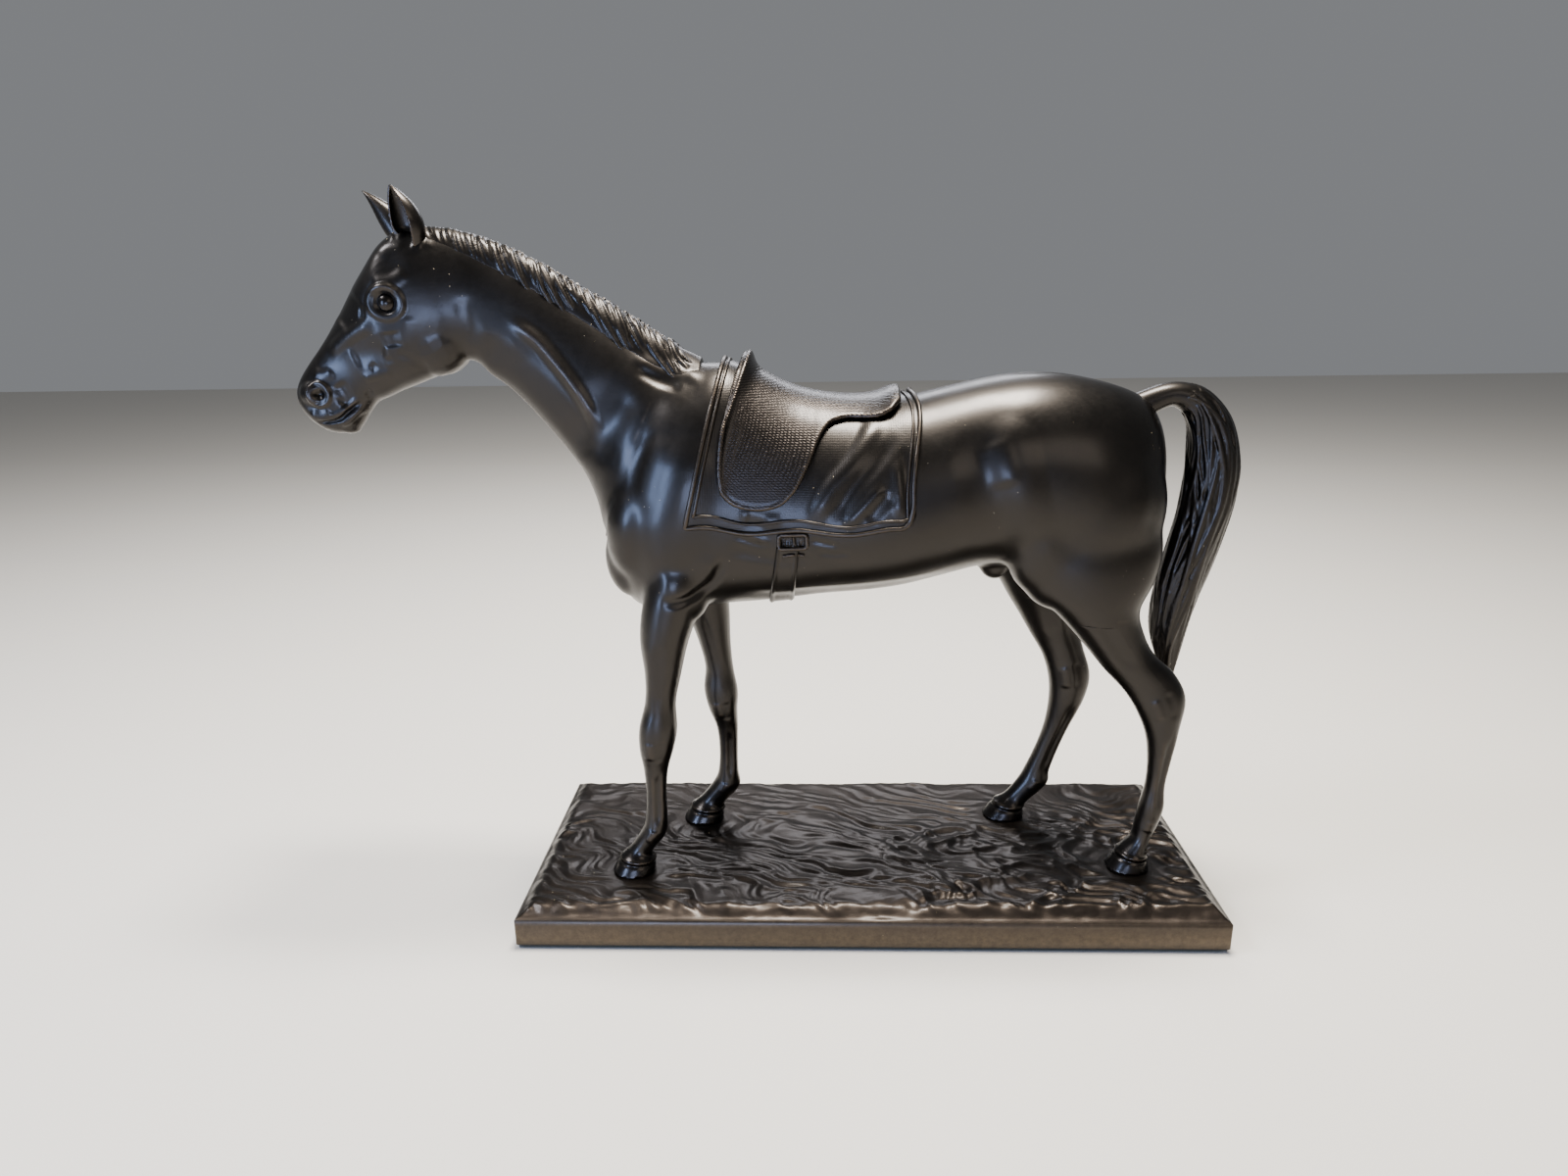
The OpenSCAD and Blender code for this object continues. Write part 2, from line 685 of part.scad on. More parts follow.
// A leg is coped to the body and keeps a spigot above the cope.
module leg(table, spigot) {
    color("#2b231e")
        difference() {
            union() {
                difference() {
                    cast_form(table, 0, len(table) - 1, 2 * (len(table) - 1), 16);
                    body_form();
                }
                leg_spigot(spigot, 0);
            }
            leg_pin_holes(fit_gap);
            stud_places()
                translate([0, 0, ground_z - 1])
                cylinder(h = stud_depth + 1, d = stud_diameter + 2 * fit_gap, $fn = round_fn);
        }
}

module left_foreleg() {
    leg(LEFT_FORE, LEG_SPIGOTS[0]);
}

module right_foreleg() {
    leg(RIGHT_FORE, LEG_SPIGOTS[1]);
}

module left_hind_leg() {
    leg(LEFT_HIND, LEG_SPIGOTS[2]);
}

module right_hind_leg() {
    leg(RIGHT_HIND, LEG_SPIGOTS[3]);
}

module tail() {
    color("#2f261f")
        difference() {
            union() {
                difference() {
                    cast_form(TAIL, 0, len(TAIL) - 1, 26, 16);
                    body_form();
                }
                tail_spigot_form(0);
            }
            tail_pin_form(fit_gap);
        }
}

// Saddlery --------------------------------------------------------------------------------------

function cloth_front(angle) =
    cloth_front_top + (cloth_front_low - cloth_front_top) * pow(abs(angle - 90) / 90, 1.5);

// Each cross section of the cloth is warped so that its front edge leans with the shoulder.
function cloth_place(u, angle) = cloth_front(angle) + (cloth_rear - cloth_front(angle)) * u;
function cloth_low(u) = angle_at(station(BODY, cloth_place(u, 0)), cloth_edge_z);

cloth_columns = 22;
cloth_rows = 26;

function cloth_point(u, share, grow) =
    let (low = cloth_low(u), angle = low + (180 - 2 * low) * share)
    on_ring(station(BODY, cloth_place(u, angle)), angle, grow);

module saddle_cloth() {
    color("#2c2521")
        difference() {
            skin([
                for (i = [0:cloth_columns])
                    let (u = i / cloth_columns)
                    concat(
                        [for (j = [0:cloth_rows])
                            cloth_point(u, j / cloth_rows, lay_gap + cloth_thickness)],
                        [for (j = [cloth_rows:-1:0]) cloth_point(u, j / cloth_rows, lay_gap)]
                    )
            ], strip = true);
            rivet_forms(fit_gap);
        }
}

// The binding is a tube just outside the four edges of the cloth.
edge_out = binding_radius + 2.5 * lay_gap;
function edge_path(steps_u, steps_v) = concat(
    [for (i = [0:steps_u - 1]) [i / steps_u, 0]],
    [for (j = [0:steps_v - 1]) [1, j / steps_v]],
    [for (i = [0:steps_u - 1]) [1 - i / steps_u, 1]],
    [for (j = [0:steps_v - 1]) [0, 1 - j / steps_v]]
);
function edge_point(e, grow) =
    let (
        out_u = e[0] < tiny ? -edge_out / 115 : e[0] > 1 - tiny ? edge_out / 115 : 0,
        out_v = e[1] < tiny ? -edge_out / 150 : e[1] > 1 - tiny ? edge_out / 150 : 0
    )
    cloth_point(e[0] + out_u / k, e[1] + out_v / k, grow);

module cloth_binding() {
    path = edge_path(22, 26);
    n = len(path);
    sides = 6;
    axis = [for (e = path) edge_point(e, lay_gap + binding_radius)];
    away = [for (e = path) edge_point(e, lay_gap + binding_radius + 1)];
    points = [
        for (i = [0:n - 1])
            let (
                ahead = axis[(i + 1) % n] - axis[(i + n - 1) % n],
                t = ahead / norm(ahead),
                o = away[i] - axis[i],
                flat = o - t * (o * t),
                nn = flat / norm(flat),
                b = cross(t, nn)
            )
            for (j = [0:sides - 1])
                axis[i] + binding_radius * (nn * cos(360 * j / sides) + b * sin(360 * j / sides))
    ];
    faces = [
        for (i = [0:n - 1], j = [0:sides - 1])
            let (i2 = (i + 1) % n, j2 = (j + 1) % sides)
            each [
                [i * sides + j, i2 * sides + j, i2 * sides + j2],
                [i * sides + j, i2 * sides + j2, i * sides + j2],
            ]
    ];
    color("#3a3028") polyhedron(points, faces, convexity = 8);
}

module saddle() {
    inner = 3 * lay_gap + cloth_thickness;
    columns = 30;
    first = SADDLE_EDGE[0][0];
    last = SADDLE_EDGE[len(SADDLE_EDGE) - 1][0];
    color("#2a211c")
        difference() {
            layer([
                for (i = [0:columns])
                    let (
                        s = first + (last - first) * i / columns,
                        low = angle_at(station(BODY, s), lookup(s, SADDLE_EDGE))
                    )
                    [s, low, 180 - low]
            ], 22, inner, function(s, a) saddle_top(s, a));
            rivet_forms(fit_gap);
        }
}

module girth_strap() {
    columns = 3;
    color("#2c2521")
        layer([
            for (i = [0:columns])
                let (
                    s = girth_front + (girth_rear - girth_front) * i / columns,
                    low = angle_at(station(BODY, s), girth_top_z)
                )
                [s, -180 - low, low]
        ], 28, lay_gap, function(s, a) lay_gap + girth_thickness);
}

buckle_thickness = 1.6;
buckle_bar = 1.8;

module buckle(side) {
    s = (girth_front + girth_rear) / 2;
    st = station(BODY, s);
    angle = angle_at(st, girth_top_z - 4);
    at = on_ring(st, side > 0 ? angle : 180 - angle, 4 * lay_gap + girth_thickness);
    color("#8d6f3f")
        translate([at[0], at[1] + side * buckle_thickness / 2, at[2]])
        rotate([90, 0, 0])
        linear_extrude(buckle_thickness, center = true) {
            difference() {
                rounded_rect(buckle_width, buckle_height, 1.5);
                rounded_rect(buckle_width - 2 * buckle_bar, buckle_height - 2 * buckle_bar, 0.8);
            }
            square([buckle_bar, buckle_height - 1], center = true);
        }
}

module left_buckle() {
    buckle(-1);
}

module right_buckle() {
    buckle(1);
}

baize_pad();
plinth_casting();
body_casting();
neck_head_casting();
mane();
left_ear();
right_ear();
left_foreleg();
right_foreleg();
left_hind_leg();
right_hind_leg();
tail();
saddle_cloth();
cloth_binding();
saddle();
girth_strap();
left_buckle();
right_buckle();
neck_sleeve();
neck_pins();
leg_pins();
tail_pin();
saddle_rivets();
core_plugs();
hoof_studs();
stud_washers();
stud_nuts();
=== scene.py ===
# %% The frame
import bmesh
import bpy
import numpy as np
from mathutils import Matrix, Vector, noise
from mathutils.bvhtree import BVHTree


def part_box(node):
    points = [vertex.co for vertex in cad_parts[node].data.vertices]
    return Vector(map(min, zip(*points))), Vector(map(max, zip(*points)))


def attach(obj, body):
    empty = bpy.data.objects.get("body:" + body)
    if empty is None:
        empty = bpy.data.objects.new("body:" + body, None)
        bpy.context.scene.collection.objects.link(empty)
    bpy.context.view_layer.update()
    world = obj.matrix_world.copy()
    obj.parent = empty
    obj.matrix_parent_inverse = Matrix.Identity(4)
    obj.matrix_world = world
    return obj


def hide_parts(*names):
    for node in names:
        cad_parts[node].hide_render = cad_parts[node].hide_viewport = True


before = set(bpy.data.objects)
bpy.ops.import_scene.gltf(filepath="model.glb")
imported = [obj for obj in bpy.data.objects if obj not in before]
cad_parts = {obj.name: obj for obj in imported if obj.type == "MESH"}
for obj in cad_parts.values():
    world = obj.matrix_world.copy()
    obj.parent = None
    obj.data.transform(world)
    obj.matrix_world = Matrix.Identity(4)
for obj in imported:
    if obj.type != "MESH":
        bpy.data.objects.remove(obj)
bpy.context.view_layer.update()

# %% [markdown]
# # A saddled horse in patinated bronze
# The CAD model gives every casting its place and its plain form. Here each casting gets the form a
# sculptor would leave in the wax: muscles, tendons, eyelids, locks of hair and the grain of the
# cloth. Everything is worked out in millimetres, in the same frame as the CAD, and turned to
# metres only when a mesh is made.

MM = 0.001
PLINTH_LOW, PLINTH_HIGH = [np.array(p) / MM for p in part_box("plinth_casting")]
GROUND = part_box("left_foreleg")[0].z / MM
SHIFT_Y = sum(p.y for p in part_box("tail")) / 2 / MM
rng = np.random.default_rng(7)
print("plinth", PLINTH_LOW, PLINTH_HIGH, "ground", GROUND, "horse's middle plane", SHIFT_Y)


# %% [markdown]
# ## Camera, floor and light
# The statue stands on a plain pale floor. The camera stands a little above the horse's back and
# looks slightly down at its left side, from close by, so that the plinth's front edge looks
# longer than its back edge. Dark bronze shows its form only by what it reflects, so the lights are
# large soft panels, and each one draws its own highlight: one overhead for the back and the
# croup, a cool one low on the left for the shoulder and the neck.

# %% Camera
def aim(yaw, pitch, roll):
    forward = Vector((np.sin(yaw) * np.cos(pitch), np.cos(yaw) * np.cos(pitch), -np.sin(pitch)))
    right = Vector((np.cos(yaw), -np.sin(yaw), 0))
    up = right.cross(forward)
    tilted = right * np.cos(roll) + up * np.sin(roll)
    upright = -right * np.sin(roll) + up * np.cos(roll)
    return Matrix((tilted, upright, -forward)).transposed()


camera_data = bpy.data.cameras.new("camera")
camera_data.sensor_width = 36
camera_data.lens = 23.33
camera_data.clip_start = 0.01
camera = bpy.data.objects.new("camera", camera_data)
camera.matrix_world = (Matrix.Translation(Vector((-22.7, -487.7, 304.75)) * MM)
                       @ aim(-0.0364, 0.2868, -0.0157).to_4x4())
bpy.context.scene.collection.objects.link(camera)
bpy.context.scene.camera = camera


# %% Colours and nodes
def linear(hex_colour):
    parts = [int(hex_colour[i:i + 2], 16) / 255 for i in (1, 3, 5)]
    return [p / 12.92 if p <= 0.04045 else ((p + 0.055) / 1.055) ** 2.4 for p in parts] + [1.0]


def add(material, kind, links=None, **settings):
    """Add a node, set its properties and its sockets, and link sockets by name."""
    node = material.node_tree.nodes.new(kind)
    for name, value in settings.items():
        if hasattr(node, name):
            setattr(node, name, value)
        else:
            node.inputs[name.replace("_", " ")].default_value = value
    for name, source in (links or {}).items():
        socket = node.inputs[name]
        material.node_tree.links.new(source, socket)
    return node


def new_material(name):
    material = bpy.data.materials.new(name)
    material.use_nodes = True
    material.node_tree.nodes.clear()
    return material


# %% Floor and lights
def panel(name, place, target, size, power, colour):
    light = bpy.data.lights.new(name, "AREA")
    light.shape = "RECTANGLE"
    light.size, light.size_y = size
    light.energy = power
    light.color = linear(colour)[:3]
    lamp = bpy.data.objects.new(name, light)
    lamp.location = Vector(place)
    lamp.rotation_euler = (Vector(target) - Vector(place)).to_track_quat("-Z", "Y").to_euler()
    bpy.context.scene.collection.objects.link(lamp)


panel("overhead_panel", (0.04, 0.06, 1.25), (0.03, 0, 0.2), (0.34, 0.36), 52, "#FFF9F0")
panel("rear_window", (-0.05, 0.95, 0.82), (0, -0.03, 0.02), (0.7, 0.24), 5, "#F4F6FF")
panel("forehead_panel", (-0.92, -0.27, 1.10), (-0.15, 0, 0.3), (0.34, 0.28), 12, "#F4F6FF")
panel("cool_window", (-0.98, -0.84, 0.30), (-0.08, 0, 0.2), (0.22, 0.48), 11.5, "#A9C6FF")
panel("low_window", (-0.25, -1.3, 0.15), (-0.02, 0, 0.2), (0.44, 0.2), 7, "#B4CBFF")
panel("front_fill", (0.75, -1.5, 0.9), (0.05, 0, 0.15), (0.9, 0.7), 5, "#FFF3E6")

world = bpy.data.worlds.new("studio")
world.use_nodes = True
world.node_tree.nodes["Background"].inputs["Color"].default_value = linear("#DADDE2")
world.node_tree.nodes["Background"].inputs["Strength"].default_value = 0.30
bpy.context.scene.world = world

floor_mesh = bpy.data.meshes.new("floor")
floor_mesh.from_pydata([(-3, -3, 0), (3, -3, 0), (3, 3, 0), (-3, 3, 0)], [], [(0, 1, 2, 3)])
floor = bpy.data.objects.new("floor", floor_mesh)
bpy.context.scene.collection.objects.link(floor)
floor_paint = new_material("pale_studio_floor")
floor_shader = add(floor_paint, "ShaderNodeBsdfPrincipled", Base_Color=linear("#CCC8C0"),
                   Roughness=0.75)
add(floor_paint, "ShaderNodeOutputMaterial", links={"Surface": floor_shader.outputs[0]})
floor_mesh.materials.append(floor_paint)

# %% [markdown]
# ## Sections and stations
# Each casting's form is held as a short table of stations, like the frames of a boat. A station is
# one section: the point on its upper edge, the point on its lower edge, its sideways place, its
# half width, the height of its widest point and its squareness. The sections between the
# stations come from a smooth curve through them. On legs the "upper" edge is the front of the
# leg, and on the tail it is the outer side.

# %% Station tables
BODY = np.array([
    [-88, 274, -126, 190, 0, 24, 0.48, 2.1], [-77, 272, -120, 168, 0, 32, 0.48, 2.1],
    [-66, 272, -110, 155, 0, 37, 0.48, 2.2], [-56, 268, -93, 154, 0, 38, 0.46, 2.2],
    [-45, 261.5, -70, 156, 0, 38, 0.45, 2.2], [-32, 256, -46, 158, 0, 39, 0.44, 2.15],
    [-17, 253, -22, 161, 0, 41, 0.43, 2.1], [0, 252.5, 0, 163, 0, 43, 0.43, 2.1],
    [18, 255.5, 18, 165.5, 0, 43, 0.44, 2.1], [36, 259.5, 36, 170, 0, 42.5, 0.46, 2.1],
    [54, 263.5, 54, 174.5, 0, 41, 0.47, 2.1], [72, 266, 72, 175, 0, 41, 0.48, 2.1],
    [88, 266, 88, 168, 0, 41, 0.5, 2.1], [103, 263.5, 103, 162, 0, 40, 0.5, 2.1],
    [117, 260, 117, 158, 0, 36, 0.5, 2.1], [129, 254, 129, 160, 0, 29, 0.52, 2.1],
    [136.5, 243, 134, 172, 0, 20, 0.55, 2], [141, 226, 138, 188, 0, 8, 0.5, 2]])
NECK = np.array([
    [-270.5, 257, -264, 246, 0, 5, 0.5, 2], [-270.5, 262, -257, 242, 0, 8.5, 0.5, 2.1],
    [-268, 267.5, -250, 241, 0, 9.5, 0.5, 2.2], [-263, 274, -243, 243.5, 0, 10, 0.5, 2.3],
    [-257, 281, -238, 250, 0, 9.8, 0.5, 2.3], [-251, 288.5, -233, 255.5, 0, 10.5, 0.5, 2.3],
    [-244, 298, -227, 258, 0, 12.5, 0.55, 2.4], [-237, 308, -220, 261, 0, 14.5, 0.6, 2.4],
    [-230, 317, -213, 263.5, 0, 16.5, 0.62, 2.4], [-222, 327, -205, 266.5, 0, 17, 0.6, 2.4],
    [-214, 332, -198, 269, 0, 16.5, 0.55, 2.3], [-205, 333, -192, 272, 0, 15.5, 0.5, 2.2],
    [-195, 332.5, -187, 274.5, 0, 14, 0.48, 2.1], [-184, 330, -182, 273, 0, 12.8, 0.48, 2],
    [-173, 325, -177, 268, 0, 12.5, 0.48, 2], [-160, 318, -169, 262, 0, 13, 0.48, 2],
    [-147, 310, -161, 254, 0, 14, 0.48, 2], [-133, 301, -152, 243.5, 0, 15.5, 0.48, 2],
    [-120, 293.5, -143, 232, 0, 17.5, 0.48, 2], [-108, 286, -135, 220, 0, 19.5, 0.48, 2],
    [-98, 280, -130, 207, 0, 22, 0.48, 2.05], BODY[0],
    [-74, 268, -114, 176, 0, 24, 0.48, 2.1]])
LEFT_FORE = np.array([
    [-129, 21, -107, 21, -29, 10.5, 0.5, 2.2], [-124, 29.5, -107, 27.5, -28.5, 8, 0.5, 2],
    [-119, 34.5, -108, 31.5, -28, 6, 0.5, 2], [-113, 43.5, -101, 41, -27.5, 6.6, 0.5, 2],
    [-111, 50, -100, 50, -27, 5.8, 0.5, 2], [-110, 62, -100, 62, -27, 5, 0.5, 2],
    [-110.5, 76, -98.5, 76, -27, 6, 0.5, 2], [-112, 88, -95, 88, -27, 8.5, 0.5, 2.2],
    [-111.5, 99, -93, 98, -27, 9, 0.5, 2.2], [-108, 113, -93, 112, -26.5, 8, 0.5, 2],
    [-107.5, 127, -90, 126, -26, 9.5, 0.5, 2], [-109, 143, -86, 142, -25, 12, 0.5, 2],
    [-108, 157, -81, 156, -23.5, 14, 0.5, 2], [-105, 172, -76, 172, -22, 15, 0.5, 2],
    [-100, 188, -80, 188, -20, 12, 0.5, 2]])
RIGHT_FORE = np.array([
    [-99, 21, -77, 21, 24.5, 10.5, 0.5, 2.2], [-94, 29.5, -76.5, 27.5, 24.5, 8, 0.5, 2],
    [-88.5, 34.5, -75.5, 31.5, 24.5, 6, 0.5, 2], [-82, 43, -67.5, 41, 24.5, 6.6, 0.5, 2],
    [-79, 50, -68, 50, 24.5, 5.8, 0.5, 2], [-78, 62, -68, 62, 24.5, 5, 0.5, 2],
    [-79, 76, -67.5, 76, 24.5, 6, 0.5, 2], [-83, 88, -67.5, 87, 24.5, 8.5, 0.5, 2.2],
    [-85, 99, -67, 97, 24.5, 9, 0.5, 2.2], [-84, 112, -69, 110, 24.5, 8, 0.5, 2],
    [-87, 126, -70, 124, 24.5, 9.5, 0.5, 2], [-92, 142, -70, 140, 24, 12, 0.5, 2],
    [-95, 157, -70, 155, 23, 14, 0.5, 2], [-96, 172, -68, 170, 22, 15, 0.5, 2],
    [-94, 188, -72, 186, 20, 12, 0.5, 2]])
LEFT_HIND = np.array([
    [121, 21, 143, 21, -24, 10.5, 0.5, 2.2], [127, 30.5, 141.5, 28, -24, 8, 0.5, 2],
    [133, 38, 142, 36, -24, 6.2, 0.5, 2], [134.5, 47, 145.5, 45, -24, 6, 0.5, 2],
    [136, 56, 147.5, 54, -24, 6.6, 0.5, 2], [138, 67, 147, 67, -24, 5.4, 0.5, 2],
    [138, 80, 149, 82, -24, 6.2, 0.5, 2], [136, 93, 151.5, 98, -24, 7.8, 0.5, 2.1],
    [131, 105, 153, 113, -24, 8.4, 0.5, 2.1], [124, 116, 147, 125, -24, 8, 0.5, 2],
    [113, 128, 136.5, 135, -24, 8.6, 0.5, 2], [103, 140, 130.5, 146, -23.5, 10.8, 0.5, 2],
    [90.5, 154, 128, 158, -23, 13.5, 0.5, 2], [76.5, 167, 134.5, 172, -21.5, 16.5, 0.5, 2.1],
    [66, 184, 137.5, 188, -19.5, 18, 0.5, 2.1], [74, 202, 134, 204, -17, 15.5, 0.5, 2]])
RIGHT_HIND = np.array([
    [67, 21, 90, 21, 29, 10.5, 0.5, 2.2], [74, 29.5, 90, 27.5, 28.5, 8, 0.5, 2],
    [80, 34.5, 93, 31.5, 28, 6, 0.5, 2], [86.5, 43.5, 102, 41, 28, 6.6, 0.5, 2],
    [90.5, 52, 103, 49.5, 28, 5.8, 0.5, 2], [95, 64, 106.5, 62, 27.5, 5.4, 0.5, 2],
    [98.5, 77, 112, 77, 27, 6.2, 0.5, 2], [100, 91, 118.5, 92, 26.5, 7.8, 0.5, 2.1],
    [99, 104, 120.5, 106, 26, 8.4, 0.5, 2.1], [95, 117, 116, 121, 25.5, 8, 0.5, 2],
    [88, 129, 112, 134, 25, 8.6, 0.5, 2], [81, 141, 113, 147, 24, 10.8, 0.5, 2],
    [73, 154, 120, 160, 22.5, 14, 0.5, 2], [66, 168, 128, 173, 21, 17, 0.5, 2.1],
    [64, 184, 136, 188, 19.5, 18.5, 0.5, 2.1], [74, 202, 132, 204, 18, 16, 0.5, 2]])
TAIL = np.array([
    [124, 255, 130, 243, 0, 6, 0.5, 2], [136, 259.5, 138, 248, 0, 6.2, 0.5, 2],
    [145, 260.5, 143, 249, 0, 6.6, 0.5, 2], [154, 258.5, 148, 245, 0, 7.4, 0.5, 2],
    [162, 253, 151, 238, 0, 8.2, 0.5, 2], [169, 244, 152, 229, 0, 8.8, 0.5, 2],
    [173.5, 232, 152, 218, 0, 9.3, 0.5, 2], [175.5, 218, 151, 207, 0, 9.6, 0.5, 2],
    [174, 203, 149.5, 194, 0, 9.6, 0.5, 2], [170.5, 188, 146.5, 180, 0, 9.2, 0.5, 2],
    [166.5, 172, 143.5, 166, 0, 8.6, 0.5, 2], [162, 156, 141.8, 152, 0, 7.6, 0.5, 2],
    [158, 140, 142.2, 139, 0, 6.2, 0.5, 2], [155.5, 125, 145.5, 127, 0, 4.2, 0.5, 2],
    [154, 111, 150, 112.5, 0, 1.8, 0.5, 2]])
LEGS = {"left_foreleg": LEFT_FORE, "right_foreleg": RIGHT_FORE,
        "left_hind_leg": LEFT_HIND, "right_hind_leg": RIGHT_HIND}


# %% Curves through the stations
def station(table, s):
    """Smooth value of a table at one place, or at an array of places."""
    s = np.asarray(s, float)
    i = np.clip(np.floor(s).astype(int), 0, len(table) - 2)
    t = (s - i)[..., None]
    a, b, c, d = [table[np.clip(i + k, 0, len(table) - 1)] for k in (-1, 0, 1, 2)]
    return (2 * b + (c - a) * t + (2 * a - 5 * b + 4 * c - d) * t ** 2
            + (3 * b - a - 3 * c + d) * t ** 3) / 2


def signed_power(v, e):
    return np.sign(v) * np.abs(v) ** e


def on_section(st, angle, grow=0.0):
    """Points at an angle on sections, grown outwards; 90 degrees is the upper edge."""
    angle = np.radians(angle)
    edge = st[..., 0:2] - st[..., 2:4]
    height = np.linalg.norm(edge, axis=-1)
    up = edge / height[..., None]
    share = np.where(np.sin(angle) < 0, st[..., 6], 1 - st[..., 6])
    across = (st[..., 5] + grow) * signed_power(np.cos(angle), 2 / st[..., 7])
    along = (height * st[..., 6]
             + (height * share + grow) * signed_power(np.sin(angle), 2 / st[..., 7]))
    return np.stack([st[..., 2] + up[..., 0] * along, st[..., 4] + across + SHIFT_Y,
                     st[..., 3] + up[..., 1] * along], axis=-1)


def angle_at(st, z):
    """Angle at which a section reaches a height."""
    share = (z - st[..., 3]) / (st[..., 1] - st[..., 3])
    part = np.where(share < st[..., 6], st[..., 6], 1 - st[..., 6])
    reach = np.clip((share - st[..., 6]) / part, -1, 1)
    return np.degrees(np.arcsin(signed_power(reach, st[..., 7] / 2)))


def tube_faces(rings, points):
    i, j = np.meshgrid(np.arange(rings - 1), np.arange(points), indexing="ij")
    k = (j + 1) % points
    sides = np.stack([i * points + j, i * points + k, (i + 1) * points + k,
                      (i + 1) * points + j], axis=-1).reshape(-1, 4)
    ends = [list(range(points))[::-1], [(rings - 1) * points + n for n in range(points)]]
    return sides.tolist() + ends


def loft(table, rings, points, first=0.0, last=None):
    """Vertices and faces of a closed skin through the sections of a table."""
    last = len(table) - 1 if last is None else last
    st = station(table, np.linspace(first, last, rings))[:, None, :]
    angles = np.linspace(0, 360, points, endpoint=False)[None, :]
    return on_section(st, angles).reshape(-1, 3), tube_faces(rings, points)


def blob(x, y, z, rx, ry, rz, tilt=0):
    """A muscle mass: an ellipsoid tilted in the side view."""
    rings, points = 13, 20
    lat = np.radians(np.linspace(-84, 84, rings))[:, None]
    lon = np.linspace(0, 2 * np.pi, points, endpoint=False)[None, :]
    ball = np.stack([np.cos(lat) * np.cos(lon), np.cos(lat) * np.sin(lon),
                     np.sin(lat) + 0 * lon], axis=-1).reshape(-1, 3) * [rx, ry, rz]
    c, s = np.cos(np.radians(tilt)), np.sin(np.radians(tilt))
    turned = np.stack([ball[:, 0] * c + ball[:, 2] * s, ball[:, 1],
                       -ball[:, 0] * s + ball[:, 2] * c], axis=-1)
    faces = [f[::-1] for f in tube_faces(rings, points)]
    return turned + [x, y + SHIFT_Y, z], faces


# %% [markdown]
# ## From shapes to one clay
# A sculptor builds the horse as one clay: trunk, neck, legs and then muscle on muscle. The same
# works here. All lofts and muscle masses are joined, a voxel remesh melts them into one closed
# skin, and smoothing softens the seams. The smoothing swings back and forth between shrinking
# and swelling, so that thin legs keep their thickness.

# %% Meshes from arrays
def new_piece(name, vertices, faces, smooth=True):
    mesh = bpy.data.meshes.new(name)
    mesh.from_pydata((np.asarray(vertices) * MM).tolist(), [], faces)
    mesh.validate()
    if smooth:
        mesh.polygons.foreach_set("use_smooth", [True] * len(mesh.polygons))
    piece = bpy.data.objects.new(name, mesh)
    bpy.context.scene.collection.objects.link(piece)
    return piece


def joined(parts):
    vertices, faces, start = [], [], 0
    for v, f in parts:
        vertices.append(v)
        faces += [[start + n for n in face] for face in f]
        start += len(v)
    return np.concatenate(vertices), faces


def voxel_remesh(piece, size):
    modifier = piece.modifiers.new("remesh", "REMESH")
    modifier.mode = "VOXEL"
    modifier.voxel_size = size * MM
    bpy.context.view_layer.update()
    shape = bpy.data.meshes.new_from_object(
        piece.evaluated_get(bpy.context.evaluated_depsgraph_get()))
    piece.modifiers.clear()
    piece.data = shape
    shape.polygons.foreach_set("use_smooth", [True] * len(shape.polygons))
    return piece


def points_of(piece):
    flat = np.empty(len(piece.data.vertices) * 3)
    piece.data.vertices.foreach_get("co", flat)
    return flat.reshape(-1, 3) / MM


def normals_of(piece):
    flat = np.empty(len(piece.data.vertices) * 3)
    piece.data.vertices.foreach_get("normal", flat)
    return flat.reshape(-1, 3)


def set_points(piece, points):
    piece.data.vertices.foreach_set("co", (points * MM).ravel())
    piece.data.update()


def relax(piece, rounds, weight=1.0, swell=0.52):
    """Even out a skin without thinning it. weight is one number or one for each vertex."""
    points = points_of(piece)
    ends = np.empty(len(piece.data.edges) * 2, int)
    piece.data.edges.foreach_get("vertices", ends)
    a, b = ends[0::2], ends[1::2]
    many = len(points)
    count = np.maximum(np.bincount(a, minlength=many) + np.bincount(b, minlength=many), 1)
    weight = np.broadcast_to(weight, many)[:, None]
    for turn in range(rounds * 2):
        pull = np.stack([np.bincount(a, points[b, k], many) + np.bincount(b, points[a, k], many)
                         for k in range(3)], axis=-1) / count[:, None] - points
        points = points + pull * weight * (0.5 if turn % 2 == 0 else -swell)
    set_points(piece, points)


def fade(value, low, high):
    t = np.clip((value - low) / (high - low), 0, 1)
    return t * t * (3 - 2 * t)


# %% Muscle masses
MUSCLES = [  # x, y on one side, z, radii along x, y, z, tilt
    (-107, 13, 198, 17, 18.5, 28, 10), (-113, 7.5, 181, 14, 12.5, 21, 0), (-90, 22, 168, 16, 13.5, 18, 0),
    (103, 19, 206, 35, 21, 38, 8), (118, 12, 214, 20, 17, 34, -4), (84, 20.5, 190, 18, 17, 26, 20),
    (92, 20, 178, 22, 16, 22, 40), (-203, 2.4, 288, 19, 12.6, 21, -25), (-216, 8, 301, 9, 9, 9.5, 0),
    (-260, 4.5, 260, 8, 6.5, 7.5, 0), (-201, 5, 322, 10, 6.5, 7, -20)]
SINGLE_MUSCLES = [(-250, 0, 245.5, 7.5, 6.5, 4.4, 20), (-104, 0, 172, 18, 14, 20, 0),
                  (63, 0, 173.5, 8.5, 6.5, 8, 35), (-92, 0, 260, 26, 12, 17, 25),
                  (-68, 0, 257, 24, 17, 14, 12)]

